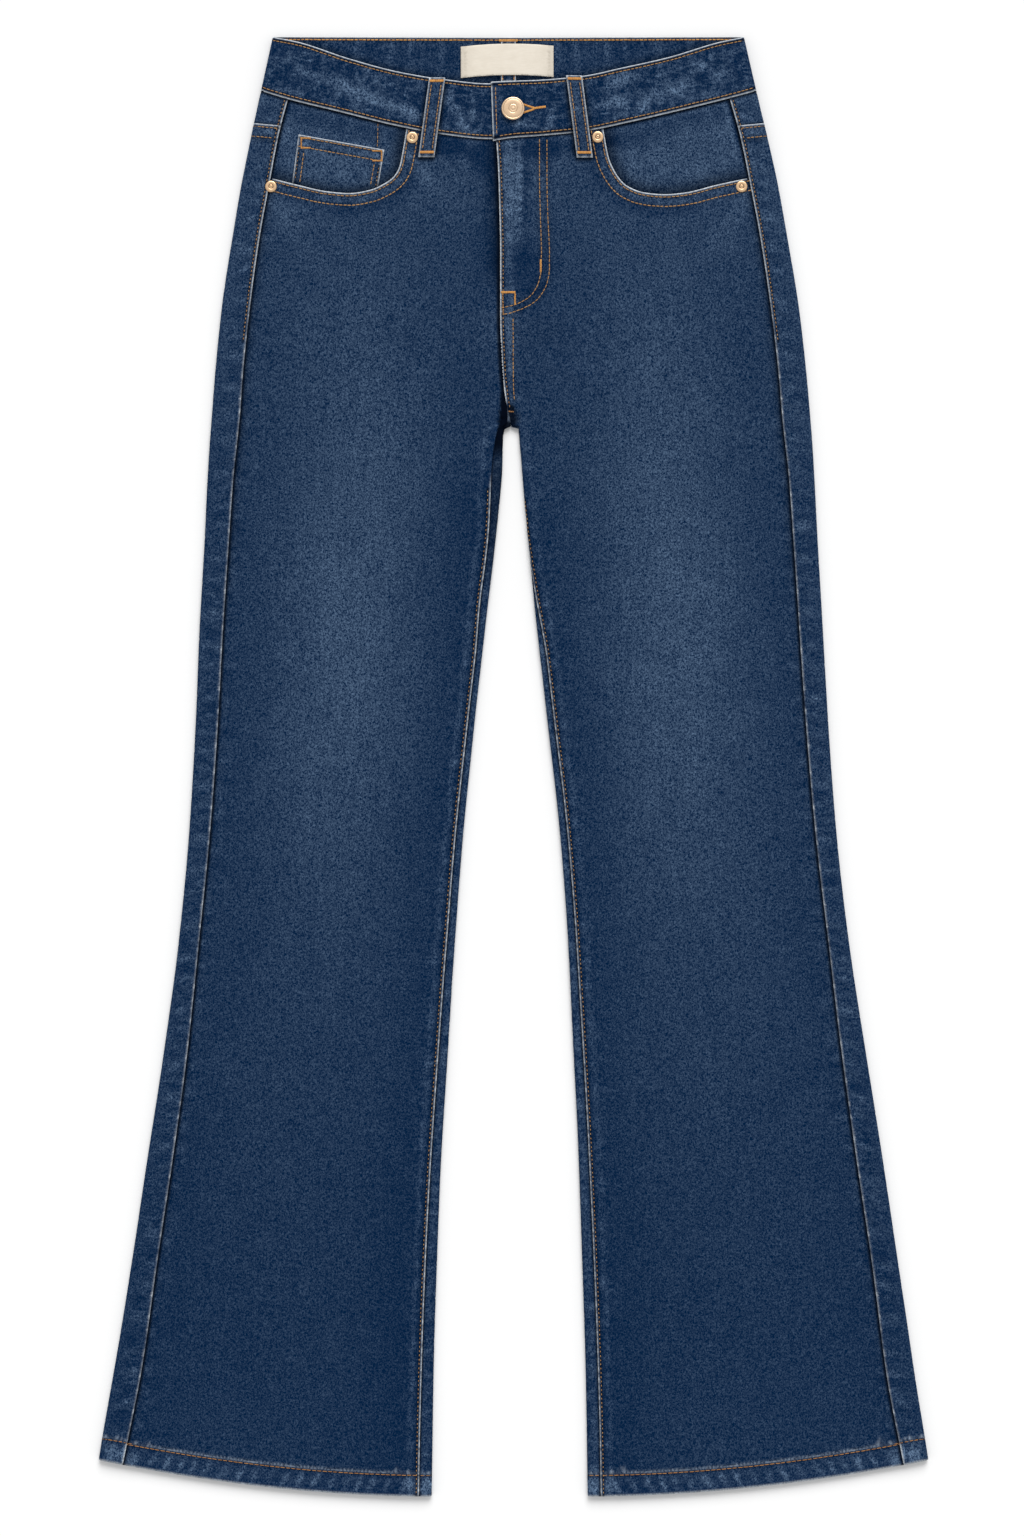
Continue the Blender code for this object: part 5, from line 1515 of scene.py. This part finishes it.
def label_lay(a, drop):
    across = a / (LABEL["width"] / 2)
    bow = 1.0 - across**2
    z = BAND_BACK_TOP + GAP + CLOTH + LABEL["bulge"] * bow
    return a + LABEL["middle"], z, 0.0 * a, 1.0 + 0.0 * a, drop - LABEL["arch"] * bow - 0.35 * across


def label_relief(cloth, flat, far):
    ends = from_edges(far, "left", "right")
    rise = 0.3 * ease((3.4 - ends) / 0.6) - 0.3 * bell(ends - LABEL["fold"], 0.8)
    return rise + 0.12 * wander(flat[:, 0] + 0.4 * flat[:, 1], 21.0, 15.0) - rounded(from_edges(far), 0.4)


def label_tint(cloth, flat, far, places):
    """Painted shade: the folded ends a little darker, a dark line where each fold stops, and a dark line
    along the foot.
    """
    ends = from_edges(far, "left", "right")
    dark = 0.35 * bell(ends - LABEL["fold"], 0.5) + 0.16 * ease((3.4 - ends) / 0.6)
    dark += 0.12 * ease((12.0 - ends) / 10.0)
    return {"dark": dark + 0.25 * bell(far["foot"][0], 0.8)}


def make_label():
    """Bare woven label. Its ends are folded under and sewn down, so its middle bows up."""
    cloth = Cloth("left", label_edges(), label_lay, label_relief, label_tint, 0.5)
    cloth.make("label", ["waistband_cloth"], satin("label_satin"), "label")


def make_tape(orange):
    half, top, bottom = TAPE["width"] / 2, TAPE["top"], TAPE["bottom"]
    lay = level(BAND_BACK_TOP + GAP + CLOTH, TAPE["middle"])
    cloth = Cloth("left", patch_edges(-half, half, top, bottom), lay, None, loop_tint, 0.9)
    cloth.make("back_tape", ["waistband_cloth"])
    orange.tack(cloth, (-half - 1.2, top - 0.1), (half + 1.2, top - 0.1), 1.8, 26)
    for a in (-half + 1.2, half - 1.2):
        orange.sew(cloth, resample([(a, top + 3.0), (a, bottom - 1.0)], 2.0), 2.6)


# ---------------------------------------------------------------- button and rivets

BUTTON_AT, BUTTON_ACROSS = (1.9, 54.9), 17.3
RIVET_ACROSS = 8.8
RIVETS_AT = {
    "right_inner": (-73.2, 76.0),
    "right_outer": (-178.9, 112.6),
    "left_inner": (65.7, 75.6),
    "left_outer": (173.7, 112.6),
}


def turned(node, middle, foot, across, profile, sides, material):
    """A round piece: its profile of (share of the radius, height, darkness) starts and ends on its axis. The
    darkness is painted shade in grooves and round the rims, and a dark dot on a rivet's nub.
    """
    cap = across / 2
    profile = np.array([(radius * cap, height, *dark, 0.0)[:3] for radius, height, *dark in profile], float)
    turn = 2 * math.pi * np.arange(sides) / sides
    rings = profile[1:-1]
    x = middle[0] + rings[:, :1] * np.cos(turn)
    drop = middle[1] + rings[:, :1] * np.sin(turn)
    z = foot + rings[:, 1:2] + 0.0 * x
    dark = np.append(np.repeat(rings[:, 2], sides), [0.0, profile[-1, 2]])
    points = np.stack([x, drop, z], axis=-1).reshape(-1, 3)
    poles = np.array([(*middle, foot + profile[end, 1]) for end in (0, -1)])
    count, here = len(points), np.arange(sides)
    after, last = (here + 1) % sides, count - sides
    faces = [np.column_stack([count + 0 * here, here, after])]
    faces.append(np.column_stack([count + 1 + 0 * here, last + after, last + here]))
    for ring in range(0, last, sides):
        a, b = ring + here, ring + after
        faces += [np.column_stack([a, b + sides, b]), np.column_stack([a, a + sides, b + sides])]
    points, faces = np.concatenate([points, poles]), np.concatenate(faces)
    made = build(f"{node}_metal", points, faces, material, {"dark": dark})
    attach(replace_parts(made, node), "root")


# how dark: painted shade under the rolled rim and in the fine rings
BUTTON_PROFILE = (  # share of the radius, height, how dark
    (0.0, 0.0), (0.44, 0.0), (0.45, 0.5), (0.45, 1.0), (0.80, 1.1), (0.93, 1.3, 0.5), (0.985, 1.6, 0.4),
    (1.0, 1.95, 0.2), (0.995, 2.3), (0.97, 2.55), (0.93, 2.70), (0.89, 2.74), (0.862, 2.70, 0.15),
    (0.845, 2.60, 0.6), (0.83, 2.58, 0.6), (0.81, 2.66, 0.15), (0.78, 2.72), (0.60, 2.76), (0.42, 2.79),
    (0.395, 2.76, 0.1), (0.38, 2.66, 0.5), (0.365, 2.66, 0.5), (0.345, 2.76, 0.1), (0.31, 2.82), (0.20, 2.82),
    (0.175, 2.76, 0.35), (0.15, 2.78, 0.2), (0.10, 2.88), (0.0, 2.90),
)
# how dark: painted shade round the foot and in the ring round the nub, and a dark dot on the nub
RIVET_PROFILE = (
    (0.0, 0.0), (0.97, 0.0, 1.0), (1.0, 0.2, 1.0), (0.99, 0.5, 0.7), (0.94, 0.72, 0.25), (0.86, 0.86),
    (0.74, 0.92), (0.55, 0.92), (0.45, 0.88, 0.1), (0.41, 0.74, 0.8), (0.34, 0.74, 0.8), (0.30, 0.9, 0.3),
    (0.27, 1.05), (0.22, 1.14), (0.16, 1.14), (0.09, 1.04, 0.6), (0.0, 1.0, 0.8),
)


def make_button():
    """A tack button: a neck, a cap with a rolled rim, a flat face with two fine rings, a low boss."""
    foot, gold = BAND_FRONT_TOP + BAND_THICK + 2 * GAP, brushed("pale_gold", GOLD)
    turned("waist_button", BUTTON_AT, foot, BUTTON_ACROSS, BUTTON_PROFILE, 96, gold)


def make_rivet(place, at):
    """A rivet: a low cap with a ring of painted shade round a small nub. It stands on the highest cloth under
    it.
    """
    cap = RIVET_ACROSS / 2
    x, drop = at
    around = [(abs(x) + cap * c, drop + cap * s) for c, s in ((-1, 0), (1, 0), (0, -1), (0, 1), (0, 0))]
    foot = max(float(upper_height(*(np.array(v) for v in point))) for point in around) + GAP
    turned(f"rivet_{place}", at, foot, RIVET_ACROSS, RIVET_PROFILE, 48, brushed("copper_gold", COPPER))


# ---------------------------------------------------------------- zip

ZIP_DROPS, ZIP_FROM_EDGE, ZIP_OUTER, ZIP_CHAIN = (79.0, 195.0), 3.8, 26.0, 7.0
ZIP_STOPS = (6.0, 4.0)  # from the tape's ends to the first and last tooth
TOOTH_PITCH, TOOTH_LONG, TOOTH_WIDE, TOOTH_MESH, TOOTH_LIFT = 2.4, 3.2, 1.0, 0.6, 0.35


def make_zip():
    """The closed zip under the left front: its tape, and two rows of teeth that mesh."""
    drops = np.linspace(*ZIP_DROPS, 50)
    near_edge = line_of(lambda drop: fly_edge(drop) + ZIP_FROM_EDGE, drops)
    far_edge = np.column_stack([0.0 * drops + ZIP_OUTER, drops])[::-1]
    edges = {"inner": near_edge, "foot": resample([near_edge[-1], far_edge[0]], 2.0), "outer": far_edge}
    edges["head"] = resample([far_edge[-1], near_edge[0]], 2.0)
    cloth = Cloth("left", edges, level(lambda a, drop: over(drop) - 0.55), ply=0.5)
    cloth.make("fly_zip", ["front_right_cloth"], twill("zip_tape"), "zip", "tape")
    teeth = Thread("fly_zip_teeth", brushed("zip_brass", COPPER), "zip")
    places = np.arange(ZIP_DROPS[0] + ZIP_STOPS[0], ZIP_DROPS[1] - ZIP_STOPS[1], TOOTH_PITCH)
    for side, shift in ((-1.0, 0.0), (1.0, TOOTH_PITCH / 2)):
        middle = fly_edge(places + shift) + ZIP_FROM_EDGE + ZIP_CHAIN
        near_end = np.column_stack([middle - side * TOOTH_MESH, places + shift])
        far_end = np.column_stack([middle + side * (TOOTH_LONG - TOOTH_MESH), places + shift])
        (starts, normals), (ends, _) = (cloth.outer(line, TOOTH_LIFT) for line in (near_end, far_end))
        teeth.add(starts, ends, normals, TOOTH_WIDE)
    teeth.make()


# ---------------------------------------------------------------- stitches


STITCH_RINGS = (  # place along the stitch, share of its width, how far it sinks
    (-1, 0.5, -0.7), (-0.62, 1, 0), (0.62, 1, 0), (1, 0.5, -0.7),
)


class Thread:
    """Stitches of one colour, gathered and then made as one piece."""

    def __init__(self, name, material, slot="denim"):
        self.name, self.material, self.slot = name, material, slot
        self.parts = []
        self.random = np.random.default_rng(len(name))

    def add(self, starts, ends, normals, width=0.85):
        self.parts.append((starts, ends, normals, np.full(len(starts), width)))

    def sew(self, cloth, line, pitch=3.2, share=0.82, width=0.66, lift=0.15, stray=0.1):
        """A row of stitches along a flat line on a piece of cloth."""
        line = np.array(line, float)
        at = lengths(line)
        begin = np.arange(0.5 * pitch, at[-1] - 0.6 * pitch, pitch)
        if not len(begin):
            return
        begin = begin + self.random.uniform(-0.06, 0.06, len(begin)) * pitch
        flat = []
        for place in (begin, begin + share * pitch):
            xy = np.column_stack([np.interp(place, at, line[:, k]) for k in (0, 1)])
            flat.append(xy + self.random.uniform(-stray, stray, xy.shape))
        (starts, normals), (ends, _) = (cloth.outer(xy, lift) for xy in flat)
        self.add(starts, ends, normals, width)

    def tack(self, cloth, start, end, across, count, width=0.55, lift=0.25):
        """A bar of close threads between two flat places, each of them across mm long."""
        start, end = np.array(start, float), np.array(end, float)
        way = (end - start) / np.linalg.norm(end - start)
        side = np.array([-way[1], way[0]]) * across / 2
        middles = start + (end - start) * np.linspace(0.0, 1.0, count)[:, None]
        middles += self.random.uniform(-0.1, 0.1, middles.shape)
        (starts, normals), (ends, _) = (cloth.outer(middles + k * side, lift) for k in (-1, 1))
        self.add(starts, ends, normals, width)

    def make(self):
        """Each stitch is a bent tube of four rings of six points, closed at both ends."""
        starts, ends, normals, widths = (np.concatenate(part) for part in zip(*self.parts))
        width = widths[:, None, None]
        way = ends - starts
        size = np.linalg.norm(way, axis=1)[:, None]
        way = way / size
        across = np.cross(normals, way)
        turn = np.arange(6) * math.pi / 3
        circle = across[:, None, :] * np.cos(turn)[:, None] + normals[:, None, :] * np.sin(turn)[:, None]
        points = []
        for t, wide, sag in STITCH_RINGS:
            centre = (starts + ends) / 2 + way * size / 2 * t
            points.append(centre[:, None, :] + (circle * wide + normals[:, None, :] * sag) * width / 2)
        points = np.concatenate(points, axis=1)
        count = len(points)
        faces = []
        for p in range(18):
            q = p - p % 6 + (p + 1) % 6
            faces += [(p, q + 6, q), (p, p + 6, q + 6)]
        faces += [(0, j, j + 1) for j in range(1, 5)] + [(18, 18 + j + 1, 18 + j) for j in range(1, 5)]
        faces = (np.array(faces)[None] + 24 * np.arange(count)[:, None, None]).reshape(-1, 3)
        tone = np.repeat(self.random.uniform(0.0, 1.0, count), 24)
        made = build(self.name, points.reshape(-1, 3), faces, self.material, {"tone": tone})
        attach(made, "root")


# ---------------------------------------------------------------- materials


class Nodes:
    """A short way to write a material's nodes."""

    def __init__(self, name, roughness, specular):
        self.material = bpy.data.materials.new(name)
        self.material.use_nodes = True
        self.tree = self.material.node_tree
        self.shader = self.tree.nodes["Principled BSDF"]
        self.fill(self.shader, {"Roughness": roughness, "Specular IOR Level": specular})

    def fill(self, node, inputs):
        """Sets a node's inputs to values, or links them to sockets."""
        for key, value in inputs.items():
            if isinstance(value, bpy.types.NodeSocket):
                self.tree.links.new(value, node.inputs[key])
            else:
                node.inputs[key].default_value = value
        return node

    def new(self, kind, **inputs):
        return self.fill(self.tree.nodes.new("ShaderNode" + kind), inputs)

    def attribute(self, name):
        node = self.new("Attribute")
        node.attribute_name = name
        return node.outputs["Fac"]

    def places(self, scale, turn):
        """Places on the piece in millimetres over scale, turned about the height."""
        where = self.new("TexCoord").outputs["Object"]
        shrink = [1.0 / (size * MM) for size in scale]
        return self.new("Mapping", Rotation=(0.0, 0.0, turn), Scale=shrink, Vector=where).outputs["Vector"]

    def noise(self, scale, detail=2.0, rough=0.5, distort=0.0, turn=0.0):
        """Noise whose grains are about scale mm."""
        how = {"Scale": 1.0, "Detail": detail, "Roughness": rough, "Distortion": distort}
        return self.new("TexNoise", **how, Vector=self.places(scale, turn)).outputs["Fac"]

    def math(self, operation, *values, clamp=False):
        node = self.new("Math")
        node.operation = operation
        node.use_clamp = clamp
        return self.fill(node, dict(enumerate(values))).outputs["Value"]

    def spread(self, *numbers):
        """A value, stretched from low..high to another low..high, or 0..1, and kept between them."""
        return self.fill(self.new("MapRange"), dict(enumerate(numbers))).outputs["Result"]

    def blend(self, share, a, b):
        node = self.new("Mix")
        node.data_type = "RGBA"
        sockets = [k for k, socket in enumerate(node.inputs) if socket.type == "RGBA"]
        colours = [(*colour, 1.0) if isinstance(colour, tuple) else colour for colour in (a, b)]
        self.fill(node, {"Factor": share, **dict(zip(sockets, colours))})
        return next(socket for socket in node.outputs if socket.type == "RGBA")

    def bump(self, height, strength, distance):
        node = self.new("Bump", Strength=strength, Distance=distance * MM, Height=height)
        self.fill(self.shader, {"Normal": node.outputs["Normal"]})

    def colour(self, value):
        self.fill(self.shader, {"Base Color": value})


INDIGO = (0.0, 0.012, 0.046)
BLEACHED = (0.228, 0.35, 0.525)
WORN = (0.76, 0.82, 0.87)
# nearly black: the colour of the painted shade in hollows, grooves and beside raised edges
PAINTED_SHADE_COLOUR = (0.0012, 0.0026, 0.007)
WEFT = (0.15, 0.19, 0.25)


@functools.cache
def denim():
    """Indigo warp over a white weft: bleached where it is faded (a fade that also carries some painted
    highlight and shade), pale on worn ridges, and nearly black with painted shade in hollows, grooves and
    beside raised edges.
    """
    n = Nodes("blue_denim", 0.9, 0.01)
    grain = n.noise((0.95, 1.25, 1.25), 1.5, 0.6, 0.9)
    streak = n.noise((2.4, 60.0, 60.0), 2.0, 0.6)
    mottle = n.noise((16.0, 24.0, 24.0), 3.0, 0.6)
    wisp = n.noise((12.0, 6.0, 6.0), 4.0, 0.62, 1.2)
    cloud = n.noise((70.0, 90.0, 90.0), 2.0, 0.5)
    fray = n.noise((2.0, 3.0, 3.0), 2.0)
    # the fade, which also carries some painted highlight and shade
    base = n.spread(n.attribute("fade"), -0.25, 1.75, 0.006, 0.246)
    ground = n.math("ADD", n.spread(streak, 0.3, 0.7, 0.86, 1.14), n.spread(mottle, 0.3, 0.7, -0.13, 0.13))
    ground = n.math("ADD", ground, n.spread(cloud, 0.3, 0.7, -0.08, 0.08))
    base = n.math("MULTIPLY", base, ground)
    patchy = n.math("MULTIPLY", n.attribute("uneven"), n.spread(wisp, 0.42, 0.70, -0.03, 0.12))
    base = n.math("MAXIMUM", n.math("ADD", base, patchy), 0.02)
    swing = n.math("MULTIPLY_ADD", base, 1.15, 0.052)
    speck = n.math("MULTIPLY", n.spread(grain, 0.32, 0.68, -1.0, 1.0), swing)
    share = n.math("ADD", base, speck, clamp=True)
    colour = n.blend(share, INDIGO, BLEACHED)
    worn = n.math("MULTIPLY", n.attribute("worn"), n.spread(fray, 0.35, 0.65, 0.6, 1.0), clamp=True)
    colour = n.blend(worn, colour, WORN)
    # painted shade: the colour goes towards nearly black as far as the painted shade attribute says
    colour = n.blend(n.attribute("deep"), colour, PAINTED_SHADE_COLOUR)
    weft = n.math("MULTIPLY", n.attribute("reverse"), n.spread(grain, 0.3, 0.7, 0.5, 1.0))
    n.colour(n.blend(weft, colour, WEFT))
    n.bump(grain, 0.5, 0.35)
    return n.material


def satin(name):
    """Woven label cloth: fine ribs across a smooth cream, darkened by painted shade where the dark attribute
    says.
    """
    n = Nodes(name, 0.55, 0.2)
    rib = n.noise((6.0, 0.35, 0.35), 1.0)
    soft = n.noise((9.0, 7.0, 7.0), 2.0)
    shade = n.math("ADD", n.spread(rib, 0.3, 0.7, 0.0, 0.5), n.spread(soft, 0.3, 0.7, 0.0, 0.5))
    cream = n.blend(shade, (0.71, 0.645, 0.545), (0.81, 0.745, 0.645))
    n.colour(n.blend(n.attribute("dark"), cream, (0.30, 0.26, 0.20)))
    n.bump(rib, 0.3, 0.2)
    return n.material


# each: low and high tone of the metal, and the colour of its painted shade
GOLD = ((0.84, 0.59, 0.38), (0.92, 0.68, 0.46), (0.34, 0.20, 0.11))
COPPER = ((0.78, 0.51, 0.29), (0.90, 0.63, 0.39), (0.10, 0.05, 0.025))


@functools.cache
def brushed(name, tones):
    """Metal with a fine brushed grain, with painted shade in its ring grooves and round its rims."""
    low, high, ring = tones
    n = Nodes(name, 0.3, 0.5)
    grain = n.noise((2.5, 0.25, 0.25), 2.0, 0.6, 0.0, 0.6)
    n.colour(n.blend(n.attribute("dark"), n.blend(grain, low, high), ring))
    n.fill(n.shader, {"Metallic": 1.0, "Roughness": n.spread(grain, 0.3, 0.7, 0.30, 0.42)})
    n.bump(grain, 0.06, 0.1)
    return n.material


def twill(name):
    """Zip tape: a fine herringbone of dark yarn."""
    n = Nodes(name, 0.85, 0.1)
    slant = n.noise((0.4, 2.2, 2.2), 1.0, 0.5, 0.0, 0.8)
    n.colour(n.blend(slant, (0.008, 0.012, 0.03), (0.03, 0.04, 0.08)))
    n.bump(slant, 0.4, 0.2)
    return n.material


def thread(name, light, dark):
    """Spun thread, each stitch a little lighter or darker than the next."""
    n = Nodes(name, 0.6, 0.3)
    tone = n.math("MULTIPLY", n.attribute("tone"), 0.6)
    n.colour(n.blend(n.math("MULTIPLY_ADD", n.noise((0.7, 0.7, 0.7), 1.0), 0.5, tone), dark, light))
    return n.material


# ---------------------------------------------------------------- floor, light and camera


FLOOR_SIZE, FLOOR_BELOW = 40.0, 0.0002  # metres
WORLD_LIGHT, SUN_LIGHT, SUN_ANGLE, SUN_LEAN, SUN_TURN = 0.62, 2.3, 40.0, -50.0, 8.0
LENS, SENSOR = 100.0, 36.0
VIEW_HEIGHT = 1.152  # metres of floor across the photograph's long side
VIEW_AT, VIEW_FROM = (0.001125, -0.001125), 0.0025  # the height that the view is measured at


def set_floor():
    place = (0.0, 0.0, -FLOOR_BELOW)
    bpy.ops.mesh.primitive_plane_add(size=FLOOR_SIZE, location=place)
    floor = bpy.context.object
    floor.name = "floor"
    n = Nodes("floor", 1.0, 0.0)
    n.colour((0.94, 0.94, 0.94, 1.0))
    floor.data.materials.append(n.material)


def set_light():
    scene = bpy.context.scene
    scene.world = bpy.data.worlds.new("studio")
    scene.world.use_nodes = True
    sky = scene.world.node_tree.nodes["Background"].inputs
    sky["Color"].default_value = (1.0, 1.0, 1.0, 1.0)
    sky["Strength"].default_value = WORLD_LIGHT
    sun = bpy.data.lights.new("key", "SUN")
    sun.energy = SUN_LIGHT
    sun.angle = math.radians(SUN_ANGLE)
    key = bpy.data.objects.new("key", sun)
    key.rotation_euler = (math.radians(SUN_LEAN), math.radians(SUN_TURN), 0.0)
    scene.collection.objects.link(key)


def set_camera():
    scene = bpy.context.scene
    camera = bpy.data.cameras.new("camera")
    camera.lens = LENS
    camera.sensor_width = SENSOR
    seen = bpy.data.objects.new("camera", camera)
    scene.collection.objects.link(seen)
    scene.camera = seen
    scene.view_settings.view_transform = "Standard"
    distance = VIEW_HEIGHT * camera.lens / camera.sensor_width
    seen.location = (*VIEW_AT, distance + VIEW_FROM)
    seen.rotation_euler = (0.0, 0.0, 0.0)


THREADS = {  # light and dark
    "tan": ((0.50, 0.29, 0.115), (0.28, 0.145, 0.05)),
    "orange": ((0.74, 0.38, 0.10), (0.42, 0.18, 0.05)),
    "rust": ((0.46, 0.23, 0.085), (0.26, 0.12, 0.04)),
}


def smooth(points, step=2.0):
    """A smooth line through points, evenly split."""
    points = np.array(points, float)
    at = lengths(points)
    keyed = np.column_stack([at, points])
    way = np.arange(0.0, at[-1], 1.0)
    line = [bent(keyed, ("way", "x", "drop"), "way", name)(way) for name in ("x", "drop")]
    return resample(np.column_stack(line), step)


def main():
    threads = [Thread(f"thread_{name}", thread(f"{name}_thread", *tones)) for name, tones in THREADS.items()]
    tan, orange, rust = threads
    for side in ("right", "left"):
        front = make_front(side, tan, rust)
        make_back(side, tan, rust)
        make_yoke(side, tan)
        make_facing(side, tan)
        make_back_pocket(side, tan)
        make_front_loop(side, tan, orange)
    sew_fly(front, orange, rust)
    make_coin_pocket(tan, orange)
    for node, middle in BACK_LOOPS.items():
        make_back_loop(node, middle, tan, orange)
    band = Band()
    band.make()
    sew_band(band, tan, orange)
    make_label()
    make_tape(orange)
    make_button()
    for place, at in RIVETS_AT.items():
        make_rivet(place, at)
    make_zip()
    for gathered in threads:
        gathered.make()
    set_floor()
    set_light()
    set_camera()


main()
